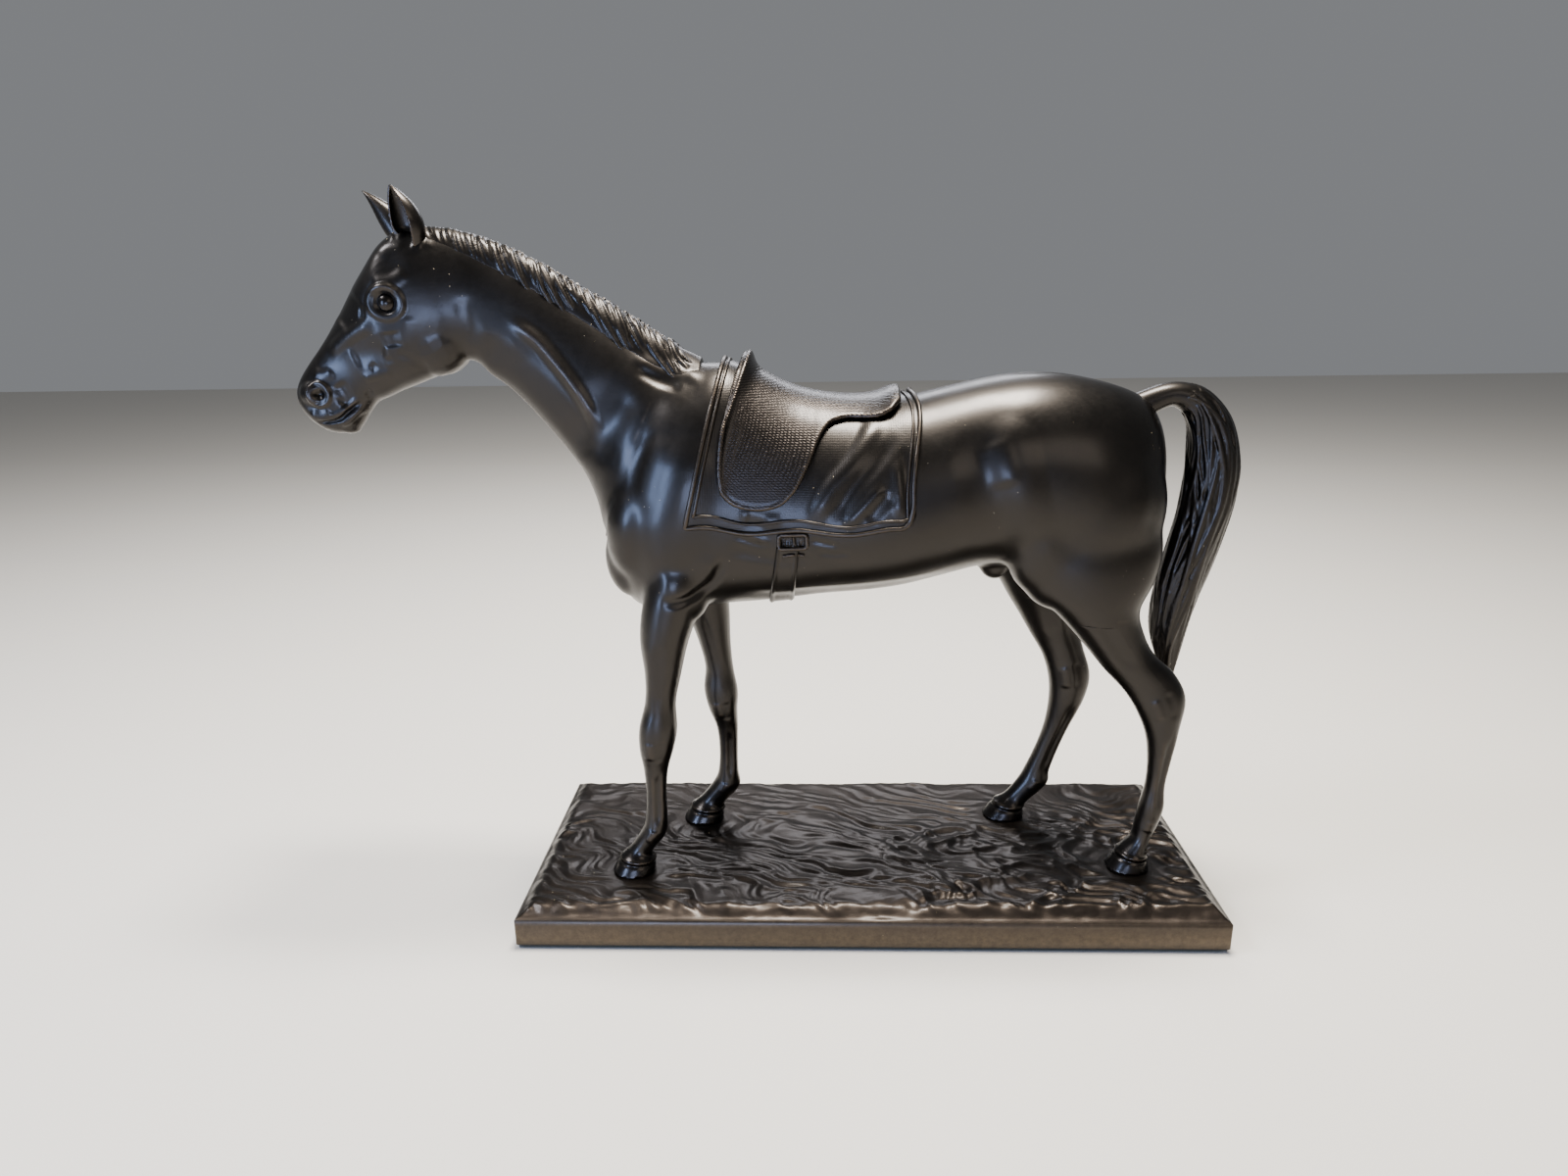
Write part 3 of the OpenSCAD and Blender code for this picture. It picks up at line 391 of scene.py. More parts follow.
clay_parts = [loft(BODY, 130, 110), loft(NECK, 150, 90)]
clay_parts += [loft(table, 110, 60) for table in LEGS.values()]
clay_parts += [blob(x, y * side, z, *rest) for x, y, z, *rest in MUSCLES for side in (-1, 1)]
clay_parts += [blob(*one) for one in SINGLE_MUSCLES]
clay = voxel_remesh(new_piece("clay", *joined(clay_parts)), 1.08)
spots = points_of(clay)
trunk = fade(spots[:, 2], 130, 165) * fade(spots[:, 0], -190, -160)
relax(clay, 40, 0.12 + 0.88 * trunk)
spots = points_of(clay)
trunk = fade(spots[:, 2], 144, 168) * fade(spots[:, 0], -140, -110)
relax(clay, 40, 0.02 + 0.98 * trunk, swell=0.48)
trunk = fade(spots[:, 2], 152, 176) * fade(spots[:, 0], -122, -96)
relax(clay, 42, trunk, swell=0)
spots = points_of(clay)
chest = 1 - fade(np.hypot((spots[:, 0] + 110) / 30, (spots[:, 2] - 192) / 38), 0.5, 1.1)
relax(clay, 14, chest, swell=0)
print("clay:", len(clay.data.vertices), "vertices")

# %% [markdown]
# ## Modelling strokes
# On the wax, muscles and folds are pressed and pushed with a thumb and a wooden tool. One stroke
# is a path seen from the side, with a width and a depth: above zero it raises the skin and below
# zero it presses a groove. It is laid on the flanks only, where the skin faces sideways, and fades
# out at both ends.


# %% The stroke tool
def path_distance(spots, path):
    """Distance of points from a smooth path, and their place along it from 0 to 1."""
    path = np.array(path, float)
    if len(path) == 1:
        path = np.concatenate([path, path + 0.01])
    path = station(path, np.linspace(0, len(path) - 1, 6 * len(path)))
    steps = np.linalg.norm(np.diff(path, axis=0), axis=1)
    best, along = np.full(len(spots), 1e9), np.zeros(len(spots))
    for n, step in enumerate(steps):
        t = np.clip((spots - path[n]) @ (path[n + 1] - path[n]) / step ** 2, 0, 1)
        away = np.linalg.norm(spots - path[n] - t[:, None] * (path[n + 1] - path[n]), axis=1)
        near = away < best
        best[near] = away[near]
        along[near] = (steps[:n].sum() + t[near] * step) / steps.sum()
    return best, along


def carve(piece, strokes, side=0, low=0.12, high=0.5):
    """Lay strokes (width, depth, path) on both flanks, or on one side only."""
    points, normals = points_of(piece), normals_of(piece)
    facing = fade(np.abs(normals[:, 1]) if side == 0 else normals[:, 1] * side, low, high)
    move = np.zeros(len(points))
    for width, depth, *path in strokes:
        xs, zs = [p[0] for p in path], [p[1] for p in path]
        near = np.flatnonzero((facing > 0)
                              & (points[:, 0] > min(xs) - width) & (points[:, 0] < max(xs) + width)
                              & (points[:, 2] > min(zs) - width) & (points[:, 2] < max(zs) + width))
        away, along = path_distance(points[near][:, [0, 2]], path)
        closed = len(path) == 1 or path[0] == path[-1]
        ends = 1 if closed or width > 9 else fade(np.minimum(along, 1 - along), 0, 0.22)
        shape = np.clip(1 - (away / width) ** 2, 0, 1) ** 2
        move[near] += depth * shape * ends
    set_points(piece, points + normals * (move * facing)[:, None])


# %% Strokes on the trunk
carve(clay, [  # broad masses
    (21, 1.9, (-94, 250), (-104, 228), (-109, 206)), (18, 1.5, (-84, 226), (-87, 205), (-92, 188)),
    (30, -1.3, (40, 234), (42, 220), (44, 208)),
    (16, -1.0, (-118, 256), (-126, 246), (-130, 238)),
    (13, -1.6, (-172, 276), (-158, 262), (-147, 250), (-138, 238)), (18, -0.7, (-62, 238), (-62, 222))])
spots = points_of(clay)
relax(clay, 25, fade(spots[:, 2], 150, 180) * fade(spots[:, 0], -190, -160), swell=0.5)
carve(clay, [  # folds and edges of muscles
    (4.6, 1.8, (-165, 294), (-152, 285), (-144, 276), (-134, 263), (-128, 252), (-124, 240)),
    (12, -0.8, (-154, 275), (-147, 266), (-139, 255), (-134, 247)),
    (9, -0.55, (-107, 262), (-114, 249), (-120, 238), (-123, 226)),
    (4.5, -0.4, (-97, 246), (-102, 236), (-106, 225), (-108, 214)),
    (5.5, 0.3, (-104, 242), (-110, 231), (-114, 218), (-115, 208)),
    (5.5, 0.25, (-91, 244), (-97, 232), (-101, 219), (-103, 208)),
    (9, 0.9, (53, 240), (56, 232), (60, 218)),
    (3.8, -1.4, (-97, 166), (-89, 165.5), (-81, 168), (-72, 175), (-66, 188)),
    (8, 0.8, (-100, 175), (-88, 173.5), (-78, 178), (-71, 190)),
    (13, 1.2, (62, 238), (65, 226), (69, 210), (74, 194)), (14, -0.7, (48, 232), (51, 220), (55, 206), (61, 194)),
    (9, -0.8, (124, 236), (129, 222), (130, 208), (126, 192)),
    (5, -0.8, (-66, 192), (-52, 188.5), (-40, 186.5), (-22, 185.5)),
    (4.5, -0.8, (-64, 166.5), (-49, 165), (-12, 167.5), (26, 172), (44, 178)),
    (1.9, -0.6, (-62, 198), (-54, 194.5), (-46, 192)), (1.8, 0.5, (-60, 201), (-52, 197), (-44, 194)),
    (1.8, -0.55, (-27, 196), (-21, 194.5), (-14, 193)), (2, -0.5, (-24, 190), (-16, 189), (-8, 190)),
    (4, 0.9, (-108, 277), (-97, 271), (-83, 268), (-74, 265)),
    (3.4, -0.8, (-106, 271), (-95, 265), (-84, 262)),
    (6, -0.4, (-184.5, 304), (-182, 296), (-180, 287), (-182, 281))])

# %% The groove along the croup
points, normals = points_of(clay), normals_of(clay)
croup = fade(points[:, 0], 60, 86) * (1 - fade(points[:, 0], 126, 138)) * fade(points[:, 2], 225, 245)
groove = np.exp(-((points[:, 1] - SHIFT_Y) / 5) ** 2)
set_points(clay, points - normals * (1.4 * groove * croup)[:, None])
print("strokes laid, croup groove pressed in")

# %% [markdown]
# ## Six castings
# A bronze of this size is cast in pieces that are pinned, soldered and chased together. The trunk,
# the neck with the head, and the four legs are cut from the clay with the same planes, so their
# skins meet. Each one is closed with its own end caps.


# %% Cutting the clay
def cut(piece, name, place, keep_side):
    """The part of a piece that keep_side points to, with a flat cap on the cut."""
    bm = bmesh.new()
    bm.from_mesh(piece.data)
    result = bmesh.ops.bisect_plane(bm, geom=bm.verts[:] + bm.edges[:] + bm.faces[:],
                                    dist=1e-6, plane_co=Vector(place) * MM,
                                    plane_no=Vector(keep_side), clear_inner=True)
    edges = [e for e in result["geom_cut"] if isinstance(e, bmesh.types.BMEdge) and e.is_boundary]
    bmesh.ops.triangle_fill(bm, use_beauty=True, edges=edges)
    for edge in edges:
        edge.smooth = False
    bmesh.ops.recalc_face_normals(bm, faces=bm.faces[:])
    shape = bpy.data.meshes.new(name)
    bm.to_mesh(shape)
    bm.free()
    part = bpy.data.objects.new(name, shape)
    bpy.context.scene.collection.objects.link(part)
    return part


def loose_part(piece, name, seed):
    """The connected part of a piece that is nearest to a place."""
    bm = bmesh.new()
    bm.from_mesh(piece.data)
    start = min(bm.verts, key=lambda v: (v.co - Vector(seed) * MM).length)
    found, edge = {start}, [start]
    while edge:
        edge = [w for v in edge for e in v.link_edges for w in (e.other_vert(v),)
                if w not in found and not found.add(w)]
    bmesh.ops.delete(bm, geom=[v for v in bm.verts if v not in found], context="VERTS")
    shape = bpy.data.meshes.new(name)
    bm.to_mesh(shape)
    bm.free()
    shape.polygons.foreach_set("use_smooth", [True] * len(shape.polygons))
    part = bpy.data.objects.new(name, shape)
    bpy.context.scene.collection.objects.link(part)
    return part


def refine(piece, as_far_as=1e9):
    """Split every face in four, on the whole piece or only in front of a place along x."""
    bm = bmesh.new()
    bm.from_mesh(piece.data)
    edges = [e for e in bm.edges if max(v.co.x for v in e.verts) < as_far_as * MM]
    bmesh.ops.subdivide_edges(bm, edges=edges, cuts=1, use_grid_fill=True)
    bm.to_mesh(piece.data)
    bm.free()
    piece.data.polygons.foreach_set("use_smooth", [True] * len(piece.data.polygons))


LEG_CUT = 152
JOINT = (BODY[0, 0:2] - BODY[0, 2:4]) / np.linalg.norm(BODY[0, 0:2] - BODY[0, 2:4])
trunk_and_neck = cut(clay, "trunk_and_neck", (0, 0, LEG_CUT), (0, 0, 1))
four_legs = cut(clay, "four_legs", (0, 0, LEG_CUT), (0, 0, -1))
rear_part = cut(trunk_and_neck, "rear_part", (-88, 0, 274), (JOINT[1], 0, -JOINT[0]))
front_part = cut(trunk_and_neck, "front_part", (-88, 0, 274), (-JOINT[1], 0, JOINT[0]))
head = loose_part(front_part, "neck_head_skin", (-220, 0, 300))
body = loose_part(rear_part, "body_skin", (0, 0, 250))
legs = {name: loose_part(four_legs, name + "_skin", (table[8, 0], table[8, 4], 95))
        for name, table in LEGS.items()}
for spare in (clay, trunk_and_neck, four_legs, rear_part, front_part):
    bpy.data.objects.remove(spare)
refine(head, as_far_as=-190)
for leg in legs.values():
    refine(leg)
print({p.name: len(p.data.vertices) for p in [body, head, *legs.values()]})

# %% [markdown]
# ## The head
# The head carries the finest modelling: a round eye between two lids, a hollow above it under the
# brow bone, the bony crest that runs down the cheek, flared nostrils with a raised rim, the
# corner of the mouth and the lower lip. The eyeball is set in as its own piece, as a wax modeller
# rolls it separately.

# %% Modelling the head
spots = points_of(head)
relax(head, 10, 1 - fade(spots[:, 0], -128, -116))
EYE = (-217, 301.2)


def ring_path(x, z, rx, rz, tilt=0, count=14):
    angle = np.linspace(0, 2 * np.pi, count + 1)
    c, s = np.cos(np.radians(tilt)), np.sin(np.radians(tilt))
    px, pz = rx * np.cos(angle), rz * np.sin(angle)
    path = [(x + a * c - b * s, z + a * s + b * c) for a, b in zip(px, pz)]
    path[-1] = path[0]
    return path


carve(head, [  # bones and hollows
    (9.8, -1.0, (-214, 317)), (4.5, 0.55, (-223, 310), (-218, 309.6), (-212, 311), (-206, 315)),
    (5, 0.3, (-219.5, 321), (-216, 325), (-211, 327), (-206.5, 325.5)),
    (4.6, 1.0, (-223.5, 292.5), (-229, 290.5), (-236, 287.5), (-244, 283), (-250, 278)),
    (6, -0.7, (-217, 289), (-216, 281)), (6, 0.3, (-208, 296), (-209, 288), (-212, 281)),
    (9, -1.0, (-238, 276), (-228, 279), (-219, 279)), (4, -0.5, (-227, 297), (-231, 297)),
    (8, -0.9, (-243, 291), (-236, 299), (-231, 305)), 
    (3.2, -0.4, (-216, 279.5), (-210, 276.5), (-203, 270.5)), (2.4, -0.35, (-229.5, 271.5), (-226, 274)),
    (2.2, -0.3, (-221.5, 275), (-217.5, 276.3)), (3, 0.5, (-235, 267), (-227, 268.5), (-219, 270)),
    (8, 1.2, (-256.5, 260.5),), (4, 0.5, (-259, 270.5), (-253, 269), (-248, 271)),
    (5, -0.9, (-247, 266), (-244, 259), (-247, 254)), (4.5, 0.7, (-263, 252), (-257, 249.5), (-251, 252)),
    (5, 0.8, (-199, 326.5), (-204, 328)), (3.5, 0.8, (-216, 329), (-212, 331.5), (-208, 330))], low=0.05)
relax(head, 5, 1 - fade(points_of(head)[:, 0], -190, -170), swell=0.5)
carve(head, [  # eye and lids
    (7.2, -1.5, EYE), (2.4, 0.75, *ring_path(*EYE, 7.7, 6.7, -10)),
    (1.2, 0.45, *ring_path(*EYE, 5.5, 5.2, -10)),
    (2.2, 0.6, (-223.5, 304), (-220.5, 307.5), (-215.5, 308.5), (-211, 306))], low=0.05, high=0.3)
carve(head, [  # nostril and mouth
    (3.6, -2.6, (-256.4, 260.4)), (1.5, 0.75, *ring_path(-256.4, 260.4, 4.9, 5.3, 12)),
    (1.35, -1.4, (-236.5, 256.6), (-240, 255), (-244, 252), (-249, 248.4), (-255, 247), (-261, 248)),
    (2.0, 0.7, (-237, 253.5), (-241, 251), (-245.5, 247.2), (-250, 245)),
    (1.8, 0.5, (-238, 259), (-243, 255.3), (-248, 251.6), (-254, 250)),
    (2.2, -0.6, (-235, 258), (-232, 262))], low=0.0, high=0.3)
relax(head, 4, 1 - fade(points_of(head)[:, 0], -190, -170))


def eyeball(side):
    reach = [p for p in points_of(head)
             if np.hypot(p[0] - EYE[0], p[2] - EYE[1]) < 5 and (p[1] - SHIFT_Y) * side > 0]
    depth = np.mean([p[1] for p in reach])
    return blob(EYE[0], depth - SHIFT_Y - side * 2.6, EYE[1], 4.9, 4.9, 4.9)


eyes = [new_piece(name, *eyeball(side)) for name, side in (("left_eye", -1), ("right_eye", 1))]
for eye in eyes:
    eye.modifiers.new("round", "SUBSURF").levels = 2

# %% [markdown]
# ## Legs and hooves
# Below the knee and the hock a horse's leg is bone, tendon and skin. A long groove runs between
# the cannon bone and the tendons behind it, the fetlock is a rounded joint, and a raised band, the
# coronet, separates the pastern from the hoof. The hoof wall is smooth and flares to the ground.

# %% Modelling the legs
for name, leg in legs.items():
    table = LEGS[name]
    spots = points_of(leg)
    relax(leg, 6, 1 - fade(spots[:, 2], 128, 146))
    hind = "hind" in name
    knee = 7 if not hind else 8

    def along(first, last, share):
        """Path between two stations, at a share of the way from the front to the rear edge."""
        st = station(table, np.linspace(first, last, 6))
        return [(f * (1 - share) + r * share, g * (1 - share) + q * share)
                for f, g, r, q in st[:, :4]]

    strokes = [
        (2.6, -0.75, *along(3.6, knee - 1, 0.62)), (2.4, 0.45, *along(3.4, knee - 0.8, 0.84)),
        (3.4, 0.4, *along(2.6, 3.4, 0.5)),
        (5.0, -0.5, *along(knee + 1.8, knee + 4.2, 0.45)), (5.0, 0.4, *along(knee + 1.6, knee + 4.4, 0.25)),
        (3.6, 0.45, *along(knee - 0.4, knee + 0.6, 0.35)), (3.0, -0.35, *along(knee - 0.5, knee + 0.7, 0.66))]
    carve(leg, strokes, low=0.0, high=0.35)
    relax(leg, 3, 1 - fade(spots[:, 2], 128, 146))
    points, normals = points_of(leg), normals_of(leg)
    foot = station(table, np.array([0.88]))[0]
    axis = np.array([foot[0] - foot[2], foot[1] - foot[3]])
    lift_off = ((points[:, 0] - foot[2]) * -axis[1] + (points[:, 2] - foot[3]) * axis[0]) / -np.hypot(*axis)
    band = 0.55 * np.exp(-((lift_off - 0.6) / 1.0) ** 2) - 0.4 * np.exp(-((lift_off + 1.0) / 0.8) ** 2)
    set_points(leg, points + normals * (band * (points[:, 2] < 40))[:, None])


# %% [markdown]
# ## Ears
# An ear is a cup: a thin leaf rolled round its own axis, wide in the middle and pointed at the
# tip, with its opening turned forwards and outwards. It is cast thin and pinned into the poll.


# %% Cups for ears
def tube(path, radii, sides=6):
    """A closed round strand along a path."""
    path = np.asarray(path, float)
    ahead = np.gradient(path, axis=0)
    ahead /= np.linalg.norm(ahead, axis=1)[:, None]
    flat = np.cross(ahead, [0.31, 0.17, 0.93])
    flat /= np.linalg.norm(flat, axis=1)[:, None]
    other = np.cross(ahead, flat)
    turn = np.linspace(0, 2 * np.pi, sides, endpoint=False)
    ring = (flat[:, None] * np.cos(turn)[None, :, None] + other[:, None] * np.sin(turn)[None, :, None])
    radii = np.broadcast_to(radii, len(path))[:, None, None]
    return (path[:, None] + ring * radii).reshape(-1, 3), tube_faces(len(path), sides)


EARS = {  # level from 0 to 1: centre x, y, z, half length, half width
    "left_ear": [(-205.6, -7.5, 325, 6.0, 4.4), (-205.8, -8.8, 331, 7.6, 5.8), (-206.3, -9.8, 337, 7.7, 6.0),
                 (-207.6, -10.3, 343, 6.2, 5.0), (-209.6, -10.5, 348, 3.4, 3.0), (-211.4, -10.4, 351.3, 0.6, 0.5)],
    "right_ear": [(-212, 7.5, 325, 6.0, 4.2), (-215.5, 8.8, 331, 7.3, 5.4), (-219, 9.8, 337, 7.2, 5.6),
                  (-223.2, 10.3, 343, 5.6, 4.6), (-228.4, 10.5, 348, 2.8, 2.8), (-232.6, 10.4, 351, 0.5, 0.5)]}


def cupped_ear(name, levels, opening):
    rings = 30
    at = np.linspace(0, 1, rings)
    shape = station(np.array(levels), at * (len(levels) - 1))
    wrap = np.radians(np.linspace(62, 298, 30) + opening)
    points = []
    for level, (x, y, z, rx, ry) in zip(at, shape):
        wall = 1.0 + 4.0 * (1 - fade(level, 0.02, 0.32))
        inner = [max(r - wall, 0.12 * r) for r in (rx, ry)]
        for r, angles in ((np.array([rx, ry]), wrap), (inner, wrap[::-1])):
            points += [(x + r[0] * np.cos(a), y + SHIFT_Y + r[1] * np.sin(a), z) for a in angles]
    ear = voxel_remesh(new_piece(name, points, tube_faces(rings, 60)), 0.35)
    relax(ear, 4)
    return ear


ears = {"left_ear": cupped_ear("left_ear_skin", EARS["left_ear"], 232),
        "right_ear": cupped_ear("right_ear_skin", EARS["right_ear"], 140)}

# %% [markdown]
# ## Mane and tail
# The mane is short and lies close to the crest. Each lock starts at the crest, falls backwards and
# down, and ends in a point over the lock below. The locks are small and fine behind the ears and
# grow towards the withers. The tail is one bundle: a bright smooth dock, then long strands that
# drift across each other down to a thin end. Strands are laid on a core and melted together,
# which is what happens when a modeller scores wax with a comb.

# %% Locks of the mane
def skin_tree(*pieces):
    vertices, faces, start = [], [], 0
    for piece in pieces:
        vertices += [v.co / MM for v in piece.data.vertices]
        faces += [[start + n for n in p.vertices] for p in piece.data.polygons]
        start = len(vertices)
    return BVHTree.FromPolygons(vertices, faces)


MANE = np.array([
    [-206, 333.5, -205, 326, 0, 3, 0.5, 2], [-190, 333, -189, 325, 0, 5, 0.5, 2],
    [-175, 329, -174, 320, 0, 6, 0.5, 2], [-160, 323, -159, 313, 0, 6.5, 0.5, 2],
    [-144, 314, -142, 303, 0, 7, 0.5, 2], [-128, 304.5, -125, 293, 0, 7.5, 0.5, 2],
    [-112, 295, -108, 283, 0, 8.5, 0.5, 2], [-98, 286, -95, 275, 0, 9, 0.5, 2],
    [-87, 279, -84, 270, 0, 8, 0.5, 2], [-75, 273.5, -74, 267, 0, 3, 0.5, 2]])
MANE_LOW = np.array([(-206, 64), (-197, 56), (-185, 44), (-172, 35), (-158, 28), (-143, 22), (-128, 17),
                     (-112, 12), (-98, 12), (-86, 22), (-76, 50)])
neck_tree = skin_tree(body, head)


def on_crest(x, angle, grow):
    """A point over the crest: angle 90 is the top, and the hair thins out down the side."""
    top = np.interp(x, MANE[:, 0], MANE[:, 1])
    centre = np.array([x, SHIFT_Y, top - 17])
    ray = np.array([0, np.cos(np.radians(angle)), np.sin(np.radians(angle))])
    hit = neck_tree.ray_cast(Vector(centre + ray * 60), Vector(-ray))[0]
    skin = np.linalg.norm(np.array(hit) - centre)
    low = np.interp(x, MANE_LOW[:, 0], MANE_LOW[:, 1])
    down = np.clip((90 - (angle if angle <= 90 else 180 - angle)) / (90 - low), 0, 1)
    over = 17 - skin if abs(angle - 90) < 1 else None
    crest = max(17 - np.linalg.norm(np.array(neck_tree.ray_cast(
        Vector((x, SHIFT_Y, top + 60)), Vector((0, 0, -1)))[0]) - centre), 1.0)
    thick = crest * (1 - down) ** 1.1 + 0.35 * down * (1 - down ** 2)
    return centre + ray * (skin + (over if over else thick) + grow)


core, steps = [], np.linspace(-205, -77, 110)
for x in steps:
    low = np.interp(x, MANE_LOW[:, 0], MANE_LOW[:, 1])
    arc = np.linspace(low, 180 - low, 31)
    core += [on_crest(x, a, 0.0) for a in arc]
    core += [on_crest(x, a, -14) if 20 < a < 160 else on_crest(x, a, -4) for a in arc[::-5]]
mane_parts = [(np.array(core), [f[::-1] for f in tube_faces(110, len(core) // 110)])]
for side in (1, -1):
    for layer in (0, 1):
        x0 = -203.0
        while x0 < -90:
            grown = float(fade(x0, -196, -140))
            x0 += (1.3 + 1.6 * grown) * (0.6 + 0.8 * rng.random()) * (1 + 0.35 * layer)
            size = (0.7 + 0.5 * rng.random()) * (0.6 if layer else 1.06)
            t = np.linspace(0, 1, 14)
            sweep = (4 + 8 * grown) * (0.7 + 0.6 * rng.random()) * size
            xs_lock = np.clip(x0 + sweep * t ** 1.3 + rng.normal(0, 0.7) * t ** 2, -205, -78)
            lows = np.interp(xs_lock, MANE_LOW[:, 0], MANE_LOW[:, 1])
            drop = np.clip(0.03 + size * t * (0.97 + 0.1 * rng.normal()), 0, 1.1)
            angle = 90 - (90 - lows) * drop
            wide = (0.55 + 0.7 * grown) * (0.65 + 0.7 * rng.random())
            path = [on_crest(x, a if side > 0 else 180 - a, (0.1 + 0.4 * layer) * (0.3 + 0.7 * grown) - 0.9 * k ** 3)
                    for x, a, k in zip(xs_lock, angle, t)]
            taper = np.sqrt(np.clip(1 - (2 * t - 0.8) ** 2 / 1.5, 0.02, 1))
            mane_parts.append(tube(path, wide * taper, 7))
mane = voxel_remesh(new_piece("mane_locks", *joined(mane_parts)), 0.45)
relax(mane, 1)

# %% Strands of the tail
tail_parts = [loft(TAIL, 120, 40, 0, 13.9)]
for n in range(120):
    start = 2.6 + 8.5 * rng.random() ** 1.4 if n > 36 else 2.4 + 0.8 * rng.random()
    end = min(start + 5 + 6 * rng.random(), 14)
    t = np.linspace(0, 1, 34)
    angle = 360 * rng.random() + 30 * rng.normal() * t + 9 * np.sin(2 * np.pi * (1.3 * t + rng.random()))
    st = station(TAIL, start + (end - start) * t)
    wide = (0.75 + 0.65 * rng.random()) * (1 if n % 9 else 1.7)
    tail_parts.append(tube(on_section(st, angle, 0.05), wide * np.sin(np.pi * (0.04 + 0.92 * t)) ** 0.6, 7))
tail = voxel_remesh(new_piece("tail_strands", *joined(tail_parts)), 0.5)
spots = points_of(tail)
relax(tail, 8, 1 - fade(station(TAIL, np.array([2.8]))[0, 1] - spots[:, 2], -6, 14))
relax(tail, 1)
print("hair:", len(mane.data.vertices), len(tail.data.vertices))

# %% [markdown]
# ## Saddlery
# The cloth, the saddle and the girth are laid on the finished horse: for every point of the sheet a
# line is drawn from outside towards the horse's axis, and the sheet lies where the line meets the
# skin. That is how a thin layer of wax is laid on the model before casting. The cloth is bound with
# a double cord in front, the saddle flap has a rolled edge over a shadow line, and folds run down
# from under the flap where the saddle presses on the cloth.


# %% Draping tools
horse_tree = neck_tree


def smooth_rows(height, rounds):
    for _ in range(rounds):
        padded = np.pad(height, 1, mode="edge")
        height = (padded[:-2, 1:-1] + padded[2:, 1:-1] + padded[1:-1, :-2] + padded[1:-1, 2:]
                  + 4 * height) / 8
    return height


def drape(places, angles, rounds=12):
    """Points on the horse's skin at stations of the body and angles round it, and outward lines."""
    st = station(BODY, places)
    plain = on_section(st, angles)
    middle = np.stack([st[..., 2] + (st[..., 0] - st[..., 2]) * st[..., 6], 0 * places + SHIFT_Y,
                       st[..., 3] + (st[..., 1] - st[..., 3]) * st[..., 6]], axis=-1)
    out = plain - middle
    reach = np.linalg.norm(out, axis=-1)
    out /= reach[..., None]
    height = np.zeros(places.shape)
    for i in np.ndindex(places.shape):
        hit = horse_tree.ray_cast(Vector(middle[i] + out[i] * 90), Vector(-out[i]))[0]
        height[i] = max(np.linalg.norm(np.array(hit) - middle[i]), reach[i] - 1.2) if hit else reach[i]
    smooth = smooth_rows(height, rounds)
    return middle, out, np.maximum(smooth, height - 0.25)


def sheet_piece(middle, out, inner, outer):
    """A closed sheet between two heights over the same lines."""
    rows, columns = inner.shape
    top = (middle + out * outer[..., None]).reshape(-1, 3)
    under = (middle + out * inner[..., None]).reshape(-1, 3)
    n = rows * columns
    index = np.arange(n).reshape(rows, columns)
    a, b, c, d = index[:-1, :-1], index[1:, :-1], index[1:, 1:], index[:-1, 1:]
    quads = np.stack([a, b, c, d], axis=-1).reshape(-1, 4)
    edge = np.concatenate([index[0, :], index[1:, -1], index[-1, -2::-1], index[-2:0:-1, 0]])
    ahead = np.roll(edge, -1)
    rim = np.stack([edge, ahead, ahead + n, edge + n], axis=-1)
    return np.concatenate([top, under]), quads.tolist() + (quads[:, ::-1] + n).tolist() + rim.tolist()


def rounding(rows, columns, step, depth):
    """How far a sheet's top sinks near its edges, so that the edges look rolled."""
    i, j = np.meshgrid(np.arange(rows), np.arange(columns), indexing="ij")
    from_edge = np.minimum(np.minimum(i, rows - 1 - i), np.minimum(j, columns - 1 - j)) * step
    return depth * (1 - np.sqrt(np.clip(1 - (1 - np.clip(from_edge / depth, 0, 1)) ** 2, 0, 1)))


# %% The saddle cloth
CLOTH_REAR, CLOTH_EDGE = 8.2, 201.0
CLOTH_THICK, SADDLE_THICK, GAP = 1.8, 2.6, 0.2


def cloth_place(u, angle):
    front = 1.85 + 0.7 * (np.abs(angle - 90) / 90) ** 1.5
    return front + (CLOTH_REAR - front) * u


def cloth_grid(u, v):
    """Stations and angles of the cloth, whose lower corners are rounded."""
    round_off = (2.5 * (1 - np.sqrt(1 - np.clip(1 - u / 0.025, 0, 1) ** 2))
                 + 7.5 * (1 - np.sqrt(1 - np.clip(1 - (1 - u) / 0.075, 0, 1) ** 2)))
    low = angle_at(station(BODY, cloth_place(u, np.zeros_like(u))), CLOTH_EDGE + round_off
                   - 2.2 * np.sin(np.pi * u) + 1.0 * np.sin(5 * np.pi * u))
    angle = low + (180 - 2 * low) * v
    sway = 0.10 * np.sin(np.abs(v - 0.5) * 4 * np.pi + 2.4) * fade(u, 0.55, 1)
    return cloth_place(u, angle) - sway, angle


